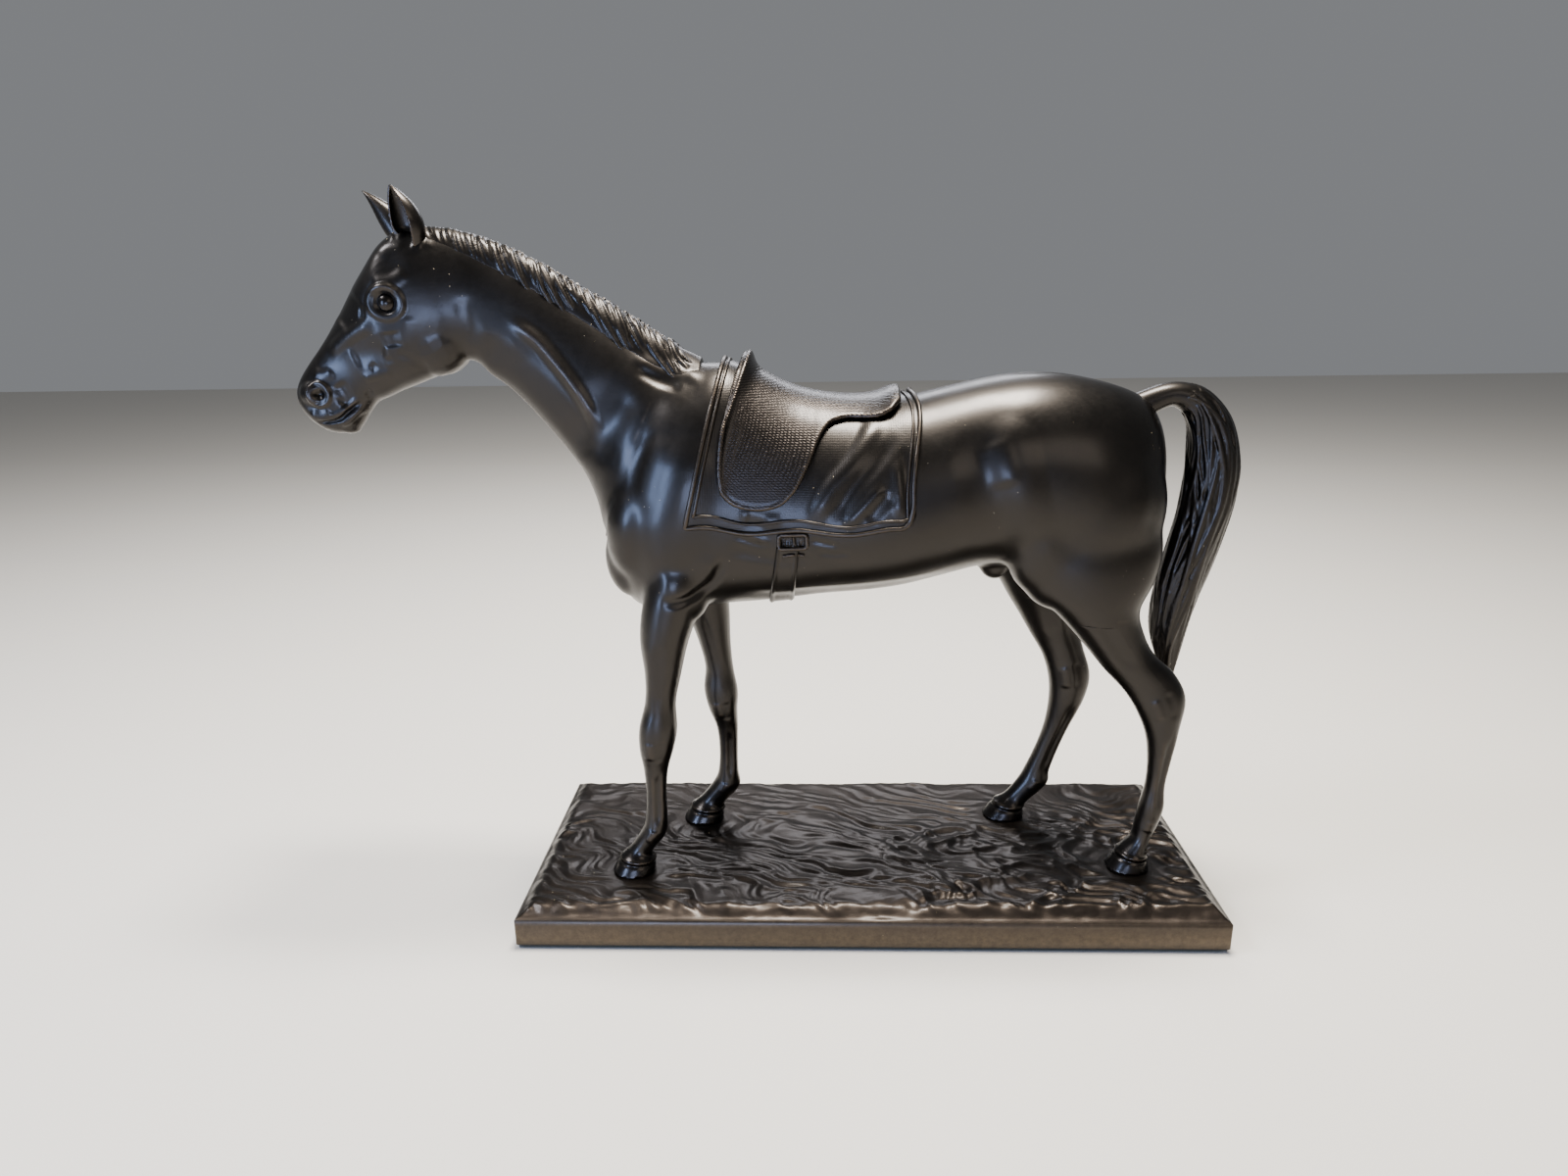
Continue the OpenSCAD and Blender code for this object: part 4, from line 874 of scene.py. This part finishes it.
u, v = np.meshgrid(np.linspace(0, 1, 116), np.linspace(0, 1, 190), indexing="ij")
places, angles = cloth_grid(u, v)
middle, out, skin = drape(places, angles, 20)
rolled = rounding(*u.shape, 0.95, 0.7)
cloth = new_piece("saddle_cloth_cast", *sheet_piece(middle, out, skin + 0.1,
                                                    skin + GAP + CLOTH_THICK - rolled))
carve(cloth, [
    (5.5, -1.3, (8, 250), (3, 246), (-8, 230), (-17, 220), (-24, 208), (-28, 203)),
    (4.5, 0.9, (12, 243), (2, 229), (-8, 218), (-14, 209), (-17, 203)),
    (4, -0.9, (6, 222), (1, 216), (-9, 205), (-12, 202)), (4.5, 0.6, (10, 218), (3, 210), (-1, 204)),
    (4, 0.8, (14.5, 238), (16.5, 223), (18.6, 208), (19, 203)), (3.6, -0.6, (11, 232), (12, 220), (13, 206)),
    (3.4, -0.6, (21, 240), (22, 224), (22.5, 208)), (4, -0.5, (-60, 209), (-48, 205.5), (-38, 205)),
    (5, 0.5, (-56, 206), (-46, 203))], low=0.2, high=0.5)

# %% The cord along the cloth's edges
cloth_tree = skin_tree(cloth)


def laid_cord(u_path, v_path, radius, sink=0.3, tree=None):
    """A cord lying on the cloth or the skin along a path in the cloth's own grid."""
    s, angle = cloth_grid(u_path, v_path)
    st = station(BODY, s)
    plain = on_section(st, angle)
    centre = np.stack([st[:, 2] + (st[:, 0] - st[:, 2]) * st[:, 6], 0 * s + SHIFT_Y,
                       st[:, 3] + (st[:, 1] - st[:, 3]) * st[:, 6]], axis=-1)
    ray = plain - centre
    ray /= np.linalg.norm(ray, axis=1)[:, None]
    height = []
    for c, d in zip(centre, ray):
        hit = (tree or cloth_tree).ray_cast(Vector(c + d * 90), Vector(-d))[0]
        height.append(np.linalg.norm(np.array(hit) - c) if hit else np.nan)
    height = np.array(height)
    known = ~np.isnan(height)
    height = np.interp(np.arange(len(height)), np.flatnonzero(known), height[known])
    height = np.convolve(np.pad(height, 4, mode="edge"), np.ones(9) / 9, "valid")
    return tube(centre + ray * (height + radius - sink)[:, None], radius, 10)


def edge_line(inset_u, inset_v, count=90):
    """A closed path round the cloth, inset from its edges, with the rear corners rounded."""
    arc = np.radians(np.linspace(0, 90, 12))
    turn_u, turn_v = 0.062 * (1 - np.cos(arc)), 0.042 * (1 - np.sin(arc))
    lo_u, hi_u, lo_v, hi_v = inset_u, 1 - inset_u, inset_v, 1 - inset_v
    low = [(t, lo_v) for t in np.linspace(lo_u, hi_u - 0.062, count)]
    low += [(hi_u - 0.062 + 0.062 * np.sin(a), lo_v + 0.042 * (1 - np.cos(a))) for a in arc[1:]]
    rear = [(hi_u, t) for t in np.linspace(lo_v + 0.042, hi_v - 0.042, 2 * count)[1:]]
    rear += [(u, 1 - v) for u, v in low[::-1][1:]]
    front = [(lo_u, t) for t in np.linspace(hi_v, lo_v, 2 * count)[1:]]
    path = np.array(low + rear + front)
    return path[:, 0], path[:, 1]


binding_parts = [laid_cord(*edge_line(0.008, 0.006), 1.15, 0.75)]
v_front = np.linspace(0.026, 0.974, 200)
binding_parts.append(laid_cord(0.043 + 0 * v_front, v_front, 0.85, 0.45))
v_rear = np.linspace(0.022, 0.978, 200)
binding_parts.append(laid_cord(0.965 + 0 * v_rear, v_rear, 0.7, 0.4))
u_low = np.linspace(0.043, 0.965, 130)
for level in (0.026, 0.974):
    binding_parts.append(laid_cord(u_low, level + 0 * u_low, 0.75, 0.42))
binding = new_piece("cloth_binding_cord", *joined(binding_parts))

# %% The saddle
SADDLE_EDGE = np.array([
    [2.75, 262], [2.9, 240], [3.15, 226], [3.4, 217], [3.8, 212], [4.4, 210], [4.9, 212], [5.2, 218],
    [5.45, 228], [5.7, 239], [5.95, 244], [6.4, 246], [7.2, 246], [7.55, 248], [7.75, 251]])


def saddle_rise(s, angle):
    return (5 * np.exp(-((s - 2.9) / 0.3) ** 2 - ((angle - 90) / 28) ** 2)
            + 2 * np.exp(-((s - 7.65) / 0.35) ** 2 - ((angle - 90) / 45) ** 2))


def edge_height(s):
    at = np.interp(s, SADDLE_EDGE[:, 0], np.arange(len(SADDLE_EDGE)))
    return station(SADDLE_EDGE, at)[..., 1]


s_line = 2.75 + 5.0 * (np.arange(150) / 149)
s_grid, v = np.meshgrid(s_line, np.linspace(0, 1, 170), indexing="ij")
low = angle_at(station(BODY, s_grid), edge_height(s_grid))
angles = low + (180 - 2 * low) * v
horse_tree = cloth_tree
middle, out, skin = drape(s_grid, angles, 40)
rolled = rounding(*v.shape, 0.9, 1.5)
height = GAP + SADDLE_THICK + saddle_rise(s_grid, angles)
saddle_sheet = sheet_piece(middle, out, skin + 0.15, skin + height - rolled)
rim_path = np.concatenate([
    (middle + out * (skin + height - 1.35)[..., None])[:, 0],
    (middle + out * (skin + height - 1.35)[..., None])[-1, 1:],
    (middle + out * (skin + height - 1.35)[..., None])[-2::-1, -1],
    (middle + out * (skin + height - 1.35)[..., None])[0, -2:0:-1]])
rim_path = np.concatenate([rim_path[3:], rim_path[:4]])
saddle = voxel_remesh(new_piece("saddle_cast", *joined([saddle_sheet, tube(rim_path, 1.3, 10)])), 0.55)
relax(saddle, 2)

# %% The girth and its buckles
horse_tree = skin_tree(body)
s_grid, v = np.meshgrid(np.linspace(4.95, 5.45, 22), np.linspace(0, 1, 200), indexing="ij")
low = angle_at(station(BODY, s_grid), 192.5)
angles = -180 - low + (180 + 2 * low) * v
middle, out, skin = drape(s_grid, angles, 6)
across = np.abs(np.linspace(-1, 1, 22))[:, None] + 0 * v
edge_bead = 0.55 * np.exp(-((across - 0.78) / 0.13) ** 2) - 0.5 * fade(across, 0.88, 1.0)
girth = new_piece("girth_cast", *sheet_piece(middle, out, skin + 0.1, skin + 1.35 + edge_bead))
girth_tree = skin_tree(girth, body)


def closed_loop(half_x, half_z, corner, count=10):
    path = []
    for n, (sx, sz) in enumerate([(1, 1), (-1, 1), (-1, -1), (1, -1)]):
        for a in np.radians(np.linspace(90 * n, 90 * n + 90, count)):
            path.append((sx * (half_x - corner) + corner * np.cos(a),
                         sz * (half_z - corner) + corner * np.sin(a)))
    return np.array(path + path[:1])


def buckle(name, side):
    x0, z0 = -34.6, 195.2
    lean = np.radians(2)

    def laid(path, lift_off):
        points = []
        for px, pz in path:
            x = x0 + px * np.cos(lean) - pz * np.sin(lean)
            z = z0 + px * np.sin(lean) + pz * np.cos(lean)
            hit = girth_tree.ray_cast(Vector((x, SHIFT_Y + side * 90, z)), Vector((0, -side, 0)))[0]
            points.append((x, hit[1] + side * lift_off, z))
        return np.array(points)

    frame_loop = laid(closed_loop(6.3, 3.2, 1.4), 0.75)
    frame_loop[:, 1] = frame_loop[:, 1] * 0.3 + np.max(frame_loop[:, 1] * side) * side * 0.7
    prong = laid([(0.2, 3.2), (0.4, 1.4), (0.5, -1.4), (0.2, -3.4)], 1.1)
    keeper = laid([(-4.9, -7.2), (-2.5, -6.6), (0, -6.3), (2.5, -6.6), (4.9, -7.2)], 0.35)
    strap_end = [tube(laid([(px, -3), (px, 0), (px + 0.3, 3)], 0.1), 0.75, 6) for px in
                 np.linspace(-5, 5, 9)]
    parts = [tube(frame_loop, 1.05, 10), tube(prong, 0.5, 8), tube(keeper, 0.8, 8)] + strap_end
    piece = voxel_remesh(new_piece(name, *joined(parts)), 0.28)
    relax(piece, 1)
    return piece


buckles = {"left_buckle": buckle("left_buckle_cast", -1), "right_buckle": buckle("right_buckle_cast", 1)}
print("saddlery:", [len(p.data.vertices) for p in (cloth, binding, saddle, girth, *buckles.values())])

# %% [markdown]
# ## The plinth
# The ground under the horse is modelled as trodden earth: low flowing ridges pulled across the
# plinth at a slant, sharper towards the right, calm at the back, with a small flat pad under each
# hoof. The upper edge is bevelled and left lumpy along the front, and the sides are plain. Below it
# is hollow, as a bronze plinth is, with one even wall and a felt pad to protect the table.

# %% Relief of the ground
HOOVES = [(-117, -32), (-87, 21.5), (133, -27), (79.5, 26)]


def ground_height(x, y):
    near_hoof = min(max(np.hypot((x - a) / 1.15, y - b) - 11, 0) for a, b in HOOVES)
    warp = noise.noise_vector(Vector((x * 0.016, y * 0.024, 3.1)))
    swirl = noise.noise_vector(Vector((x * 0.045, y * 0.06, 8.3)))
    across = (y + 0.5 * x + 9 * swirl.x) * 0.105 + 2.4 * warp.x
    run = (x - 0.4 * y) * 0.02 + 1.2 * warp.y + 0.25 * swirl.y
    ridge = 1 - abs(noise.noise(Vector((run, across, 0)))) * 2.6
    second = 1 - abs(noise.noise(Vector((run * 2.1 + 4, across * 1.9 + 2 * swirl.z, 5.0)))) * 2.6
    crumple = 1 - abs(noise.noise(Vector((x * 0.05 + swirl.x, y * 0.09 + 1.2 * swirl.y, 1.7)))) * 2.8
    right = float(fade(x, -30, 50)) * float(fade(-y, -40, 10))
    back = float(fade(y, 5, 55))
    height = (0.95 * ridge + 0.5 * second) * (1 - 0.6 * back) + 1.1 * crumple * right
    calm = float(fade(near_hoof, 0, 9))
    return (height - 0.7) * calm + 0.25 * (1 - calm)


X, Y = PLINTH_HIGH[0], PLINTH_HIGH[1]
BEVEL, SIDE_TOP = 8.5, 17.0
inset = np.concatenate([[0, 0.35, 0.8], np.linspace(1.6, BEVEL, 9)])
xs = np.concatenate([-X + inset, np.linspace(-X + BEVEL, X - BEVEL, 330)[1:-1], X - inset[::-1]])
ys = np.concatenate([-Y + inset, np.linspace(-Y + BEVEL, Y - BEVEL, 136)[1:-1], Y - inset[::-1]])
gx, gy = np.meshgrid(xs, ys, indexing="ij")
from_edge = np.minimum(X - np.abs(gx), Y - np.abs(gy))
slope = fade(from_edge, 0.0, BEVEL * 1.25)
relief = np.array([ground_height(a, b) for a, b in zip(gx.ravel(), gy.ravel())]).reshape(gx.shape)
lumps = np.array([noise.noise(Vector((a * 0.055, b * 0.055, 7.7))) + 0.5 * noise.noise(
    Vector((a * 0.17, b * 0.17, 2.2))) for a, b in zip(gx.ravel(), gy.ravel())]).reshape(gx.shape)
gz = (SIDE_TOP - 0.6 + (GROUND - SIDE_TOP + 0.4) * np.sin(slope * np.pi / 2) + relief * fade(from_edge, 2, 9)
      + 0.9 * lumps * fade(from_edge, 0.8, 4) * (1 - fade(from_edge, 7, 14))
      - 0.6 * (1 - fade(from_edge, 0, 0.9)))
near_hoof = np.min([np.hypot((gx - a) / 1.15, gy - b) for a, b in HOOVES], axis=0)
gz = np.where(near_hoof < 12, GROUND - 0.05, gz) * (1 - fade(near_hoof, 12, 17)) + gz * fade(near_hoof, 12, 17)

top = np.stack([gx, gy, gz], axis=-1).reshape(-1, 3)
index = np.arange(len(top)).reshape(gx.shape)
quads = np.stack([index[:-1, :-1], index[1:, :-1], index[1:, 1:], index[:-1, 1:]], axis=-1).reshape(-1, 4)
rim = np.concatenate([index[0, ::-1], index[1:, 0], index[-1, 1:], index[-2:0:-1, -1]])
rim_points = top[rim]
WALL = 5.0


def rim_level(z, shrink):
    level = rim_points.copy()
    level[:, 0] *= (X - shrink) / X
    level[:, 1] *= (Y - shrink) / Y
    level[:, 2] = z
    return level


levels = [rim_level(z, w) for z, w in ((12.5, 0), (8, 0), (2.6, 0), (1.55, 0.9), (1.5, WALL),
                                       (GROUND - WALL - 0.6, WALL + 0.4))]
vertices, faces, last = [top], quads.tolist(), rim
for n, level in enumerate(levels):
    now = len(top) + n * len(rim) + np.arange(len(rim))
    vertices.append(level)
    faces += np.stack([last, np.roll(last, -1), np.roll(now, -1), now], axis=-1)[:, ::-1].tolist()
    last = now
faces.append(last.tolist())
plinth = new_piece("plinth_relief", np.concatenate(vertices), faces)
bm = bmesh.new()
bm.from_mesh(plinth.data)
bmesh.ops.recalc_face_normals(bm, faces=bm.faces[:])
bm.to_mesh(plinth.data)
bm.free()
plinth.data.polygons.foreach_set("use_smooth", [True] * len(plinth.data.polygons))
print("plinth:", len(plinth.data.vertices), "vertices")

# %% [markdown]
# ## The felt pad
# A sheet of green-black baize, cut 2 mm smaller than the plinth, is glued under it, so that the
# metal never touches the table.

# %% Baize
low, high = [np.array(p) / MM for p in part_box("baize_pad")]
nx, ny = 86, 36
bx, by = np.meshgrid(np.linspace(low[0], high[0], nx), np.linspace(low[1], high[1], ny), indexing="ij")
nap = np.array([0.05 * noise.noise(Vector((a * 0.4, b * 0.4, 0))) for a, b in zip(bx.ravel(), by.ravel())])
above = np.stack([bx.ravel(), by.ravel(), high[2] - 0.02 + 0 * nap], axis=-1)
below = np.stack([bx.ravel(), by.ravel(), low[2] + 0.06 + nap], axis=-1)
index = np.arange(nx * ny).reshape(nx, ny)
quads = np.stack([index[:-1, :-1], index[1:, :-1], index[1:, 1:], index[:-1, 1:]], axis=-1).reshape(-1, 4)
edge = np.concatenate([index[0, :], index[1:, -1], index[-1, -2::-1], index[-2:0:-1, 0]])
rim_faces = np.stack([edge, np.roll(edge, -1), np.roll(edge, -1) + nx * ny, edge + nx * ny], axis=-1)
baize = new_piece("baize_felt", np.concatenate([above, below]),
                  quads.tolist() + (quads[:, ::-1] + nx * ny).tolist() + rim_faces.tolist())


# %% [markdown]
# ## Patina and wear
# The bronze is patinated almost black and waxed: heated with a torch, brushed with liver of
# sulphur, then polished with wax. Hands and cloths rub the edges and the high places, where the
# brown metal begins to show, and the colour is made darker in the hollows. How high a place
# stands is worked out from the shape itself, and stored with the skin for the patina to use.


# %% Rubbed edges
def mark_ridges_and_hollows(piece, reach=2.0, rounds=6):
    """Store from 0, hollow, to 1, ridge, on a piece; 0.5 is flat."""
    points, normals = points_of(piece), normals_of(piece)
    ends = np.empty(len(piece.data.edges) * 2, int)
    piece.data.edges.foreach_get("vertices", ends)
    a, b = ends[0::2], ends[1::2]
    many = len(points)
    count = np.maximum(np.bincount(a, minlength=many) + np.bincount(b, minlength=many), 1)

    def spread(value):
        return (np.bincount(a, value[b], many) + np.bincount(b, value[a], many)) / count

    around = np.stack([spread(points[:, k]) for k in range(3)], axis=-1)
    length = spread(np.ones(many)) * np.mean(np.linalg.norm(points[a] - points[b], axis=1))
    height = ((points - around) * normals).sum(axis=1) / length ** 2
    for _ in range(rounds):
        height = 0.5 * height + 0.5 * spread(height)
    from_joint = np.abs((points[:, 0] + 88) * JOINT[1] - (points[:, 2] - 274) * JOINT[0])
    if piece in (body, head):
        height *= fade(from_joint, 1.5, 4)
    if piece is body or piece in legs.values():
        height *= fade(np.abs(points[:, 2] - LEG_CUT), 1.5, 4)
    mark = piece.data.attributes.new("height_mark", "FLOAT", "POINT")
    mark.data.foreach_set("value", np.clip(0.5 + height * reach, 0, 1))


for piece in (body, head, *legs.values(), *ears.values(), *eyes, tail, mane, cloth, binding, saddle,
              girth, *buckles.values(), plinth):
    mark_ridges_and_hollows(piece)


# %% [markdown]
# ## Materials
# All the bronze shares one recipe: dark metal, a thin coat of wax, a cast grain finer than a
# millimetre, slow changes in gloss where the wax lies thicker, and a few grains of pale dust. The
# recipe then changes with the piece: hair is brushed brighter on its ridges, the saddle is
# cross-hatched like pigskin, the cloth has a weave and the ground is left duller and browner.

# %% The bronze recipe
def bronze(name, dark, rubbed, roughness, rub=0.6, grain=0.00004, dust=0.0, hatch=None, gloss_spread=0.1,
           wax=0.22, hatch_depth=0.00004):
    m = new_material(name)
    place = add(m, "ShaderNodeTexCoord").outputs["Object"]
    mark = add(m, "ShaderNodeAttribute", attribute_name="height_mark").outputs["Fac"]
    ridge = add(m, "ShaderNodeMapRange", {"Value": mark}, From_Min=0.56, From_Max=0.95, To_Min=0.0, To_Max=rub)
    # hollow rises from 0 on flat skin to 0.5 in the hollows; there the colour is mixed towards a darker brown
    hollow = add(m, "ShaderNodeMapRange", {"Value": mark}, From_Min=0.44, From_Max=0.1, To_Min=0.0, To_Max=0.5)
    slow = add(m, "ShaderNodeTexNoise", {"Vector": place}, Scale=38.0, Detail=4.0, Roughness=0.6)
    quick = add(m, "ShaderNodeTexNoise", {"Vector": place}, Scale=420.0, Detail=3.0, Roughness=0.65)
    fine = add(m, "ShaderNodeTexNoise", {"Vector": place}, Scale=1500.0, Detail=2.0, Roughness=0.6)
    worn = add(m, "ShaderNodeMath", {0: ridge.outputs[0], 1: quick.outputs["Fac"]}, operation="MULTIPLY")
    tone = add(m, "ShaderNodeMix", {"Factor": worn.outputs[0]}, data_type="RGBA")
    tone.inputs["A"].default_value, tone.inputs["B"].default_value = linear(dark), linear(rubbed)
    # the colour made darker in the hollows of the skin, by the hollow mask
    darker_in_hollows = add(m, "ShaderNodeMix", {"Factor": hollow.outputs[0], "A": tone.outputs["Result"]}, data_type="RGBA")
    darker_in_hollows.inputs["B"].default_value = linear("#1B1815")
    gloss = add(m, "ShaderNodeMapRange", {"Value": slow.outputs["Fac"]}, From_Min=0.3, From_Max=0.7,
                To_Min=roughness - gloss_spread / 2, To_Max=roughness + gloss_spread / 2)
    patch = add(m, "ShaderNodeMath", {0: quick.outputs["Fac"]}, operation="MULTIPLY")
    patch.inputs[1].default_value = 0.12
    rough = add(m, "ShaderNodeMath", {0: gloss.outputs[0], 1: patch.outputs[0]}, operation="ADD")
    height = fine.outputs["Fac"]
    bump = add(m, "ShaderNodeBump", {"Height": height}, Strength=0.55, Distance=grain)
    bump = add(m, "ShaderNodeBump", {"Height": quick.outputs["Fac"], "Normal": bump.outputs[0]},
               Strength=0.5, Distance=grain * 2.2)
    if hatch:
        for scale, direction in hatch:
            wave = add(m, "ShaderNodeTexWave", {"Vector": place}, wave_type="BANDS", bands_direction=direction,
                       Scale=scale, Distortion=2.5, Detail=2.0, Detail_Scale=2.0)
            bump = add(m, "ShaderNodeBump", {"Height": wave.outputs["Fac"], "Normal": bump.outputs[0]},
                       Strength=0.6, Distance=hatch_depth)
    colour, metal, roughness_out = darker_in_hollows.outputs["Result"], None, rough.outputs[0]
    shader = add(m, "ShaderNodeBsdfPrincipled", {"Base Color": colour, "Roughness": roughness_out,
                                                 "Normal": bump.outputs[0]},
                 Metallic=1.0, Coat_Weight=wax, Coat_Roughness=0.22)
    if dust:
        grains = add(m, "ShaderNodeTexVoronoi", {"Vector": place}, Scale=330.0, Randomness=1.0)
        where = add(m, "ShaderNodeTexNoise", {"Vector": place}, Scale=30.0, Detail=2.0)
        size = add(m, "ShaderNodeMapRange", {"Value": where.outputs["Fac"]}, From_Min=0.5, From_Max=0.75,
                   To_Min=0.0, To_Max=dust)
        speck = add(m, "ShaderNodeMath", {0: grains.outputs["Distance"], 1: size.outputs[0]},
                    operation="LESS_THAN")
        grit = add(m, "ShaderNodeMix", {"Factor": speck.outputs[0], "A": colour}, data_type="RGBA")
        grit.inputs["B"].default_value = linear("#C2B190")
        metal = add(m, "ShaderNodeMapRange", {"Value": speck.outputs[0]}, To_Min=1.0, To_Max=0.0)
        m.node_tree.links.new(grit.outputs["Result"], shader.inputs["Base Color"])
        m.node_tree.links.new(metal.outputs[0], shader.inputs["Metallic"])
    add(m, "ShaderNodeOutputMaterial", {"Surface": shader.outputs[0]})
    return m


# %% The bronzes
horse_bronze = bronze("waxed_black_bronze", "#292623", "#5F5246", 0.30, rub=0.5, dust=0.08)
hoof_bronze = bronze("waxed_bronze_hooves", "#2A2623", "#6B5C4C", 0.22, rub=0.4)
hair_bronze = bronze("brushed_bronze_hair", "#25221F", "#544B42", 0.34, rub=0.32, gloss_spread=0.06, dust=0.08)
saddle_bronze = bronze("hatched_bronze_saddle", "#2B2724", "#6E5E4C", 0.29, rub=0.3,
                       hatch=[(330, "DIAGONAL"), (290, "Z")], hatch_depth=0.0001, dust=0.1)
cloth_bronze = bronze("woven_bronze_cloth", "#2A2724", "#6C5C4A", 0.31, rub=0.3, dust=0.2,
                      hatch=[(300, "X"), (300, "Z")], hatch_depth=0.00003)
ground_bronze = bronze("earth_toned_bronze_ground", "#312B26", "#7C6D58", 0.34, rub=0.55, grain=0.00007,
                       gloss_spread=0.16, dust=0.08)


# %% [markdown]
# The pins and sleeve inside are plain turned brass, the plugs take the horse's bronze, the washers
# are zinc-plated steel, and the pad is a short-napped wool felt.

# %% Fixings and felt
def turned_metal(name, colour, roughness):
    m = new_material(name)
    place = add(m, "ShaderNodeTexCoord").outputs["Object"]
    lathe = add(m, "ShaderNodeTexNoise", {"Vector": place}, Scale=700.0, Detail=3.0)
    gloss = add(m, "ShaderNodeMapRange", {"Value": lathe.outputs["Fac"]}, To_Min=roughness - 0.08,
                To_Max=roughness + 0.12)
    bump = add(m, "ShaderNodeBump", {"Height": lathe.outputs["Fac"]}, Strength=0.3, Distance=0.00004)
    shader = add(m, "ShaderNodeBsdfPrincipled", {"Roughness": gloss.outputs[0], "Normal": bump.outputs[0]},
                 Base_Color=linear(colour), Metallic=1.0)
    add(m, "ShaderNodeOutputMaterial", {"Surface": shader.outputs[0]})
    return m


joint_brass = turned_metal("turned_brass", "#B08D57", 0.32)
zinc_steel = turned_metal("zinc_plated_steel", "#A9ADB0", 0.38)

felt = new_material("wool_baize_felt")
place = add(felt, "ShaderNodeTexCoord").outputs["Object"]
nap_noise = add(felt, "ShaderNodeTexNoise", {"Vector": place}, Scale=1300.0, Detail=5.0, Roughness=0.7)
shade = add(felt, "ShaderNodeMix", {"Factor": nap_noise.outputs["Fac"]}, data_type="RGBA")
shade.inputs["A"].default_value, shade.inputs["B"].default_value = linear("#121613"), linear("#29302A")
nap_bump = add(felt, "ShaderNodeBump", {"Height": nap_noise.outputs["Fac"]}, Strength=0.8, Distance=0.0002)
felt_shader = add(felt, "ShaderNodeBsdfPrincipled", {"Base Color": shade.outputs["Result"],
                                                     "Normal": nap_bump.outputs[0]},
                  Roughness=0.95, Sheen_Weight=0.4)
add(felt, "ShaderNodeOutputMaterial", {"Surface": felt_shader.outputs[0]})

# %% [markdown]
# ## Putting it together
# Every piece rides on the one body, stands in for its CAD part, which is hidden, and takes its
# finish from its group's material. The fixings inside keep their CAD shapes.

# %% Assigning everything
GROUPS = [
    (horse_bronze, "horse_bronze", {"body_casting": body, "neck_head_casting": head, **legs, **ears}),
    (hair_bronze, "hair_bronze", {"mane": mane, "tail": tail}),
    (cloth_bronze, "cloth_bronze", {"saddle_cloth": cloth, "cloth_binding": binding, "girth_strap": girth}),
    (saddle_bronze, "saddle_bronze", {"saddle": saddle, **buckles}),
    (ground_bronze, "ground_bronze", {"plinth_casting": plinth}),
    (felt, "baize", {"baize_pad": baize})]
for material, slot_name, pieces in GROUPS:
    for node, piece in pieces.items():
        piece.data.materials.clear()
        piece.data.materials.append(material)
        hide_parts(node)
        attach(piece, "root")
for eye in eyes:
    eye.data.materials.append(hoof_bronze)
    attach(eye, "root")
for leg in legs.values():
    leg.data.materials.append(hoof_bronze)
    centres = np.array([p.center.z for p in leg.data.polygons]) / MM
    leg.data.polygons.foreach_set("material_index", (centres < 32.5).astype(int))
for material, names in ((joint_brass, ("neck_sleeve", "neck_pins", "leg_pins", "tail_pin", "hoof_studs")),
                        (zinc_steel, ("stud_washers", "stud_nuts")),
                        (horse_bronze, ("saddle_rivets", "core_plugs"))):
    for name in names:
        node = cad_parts[name]
        node.data.materials.clear()
        node.data.materials.append(material)
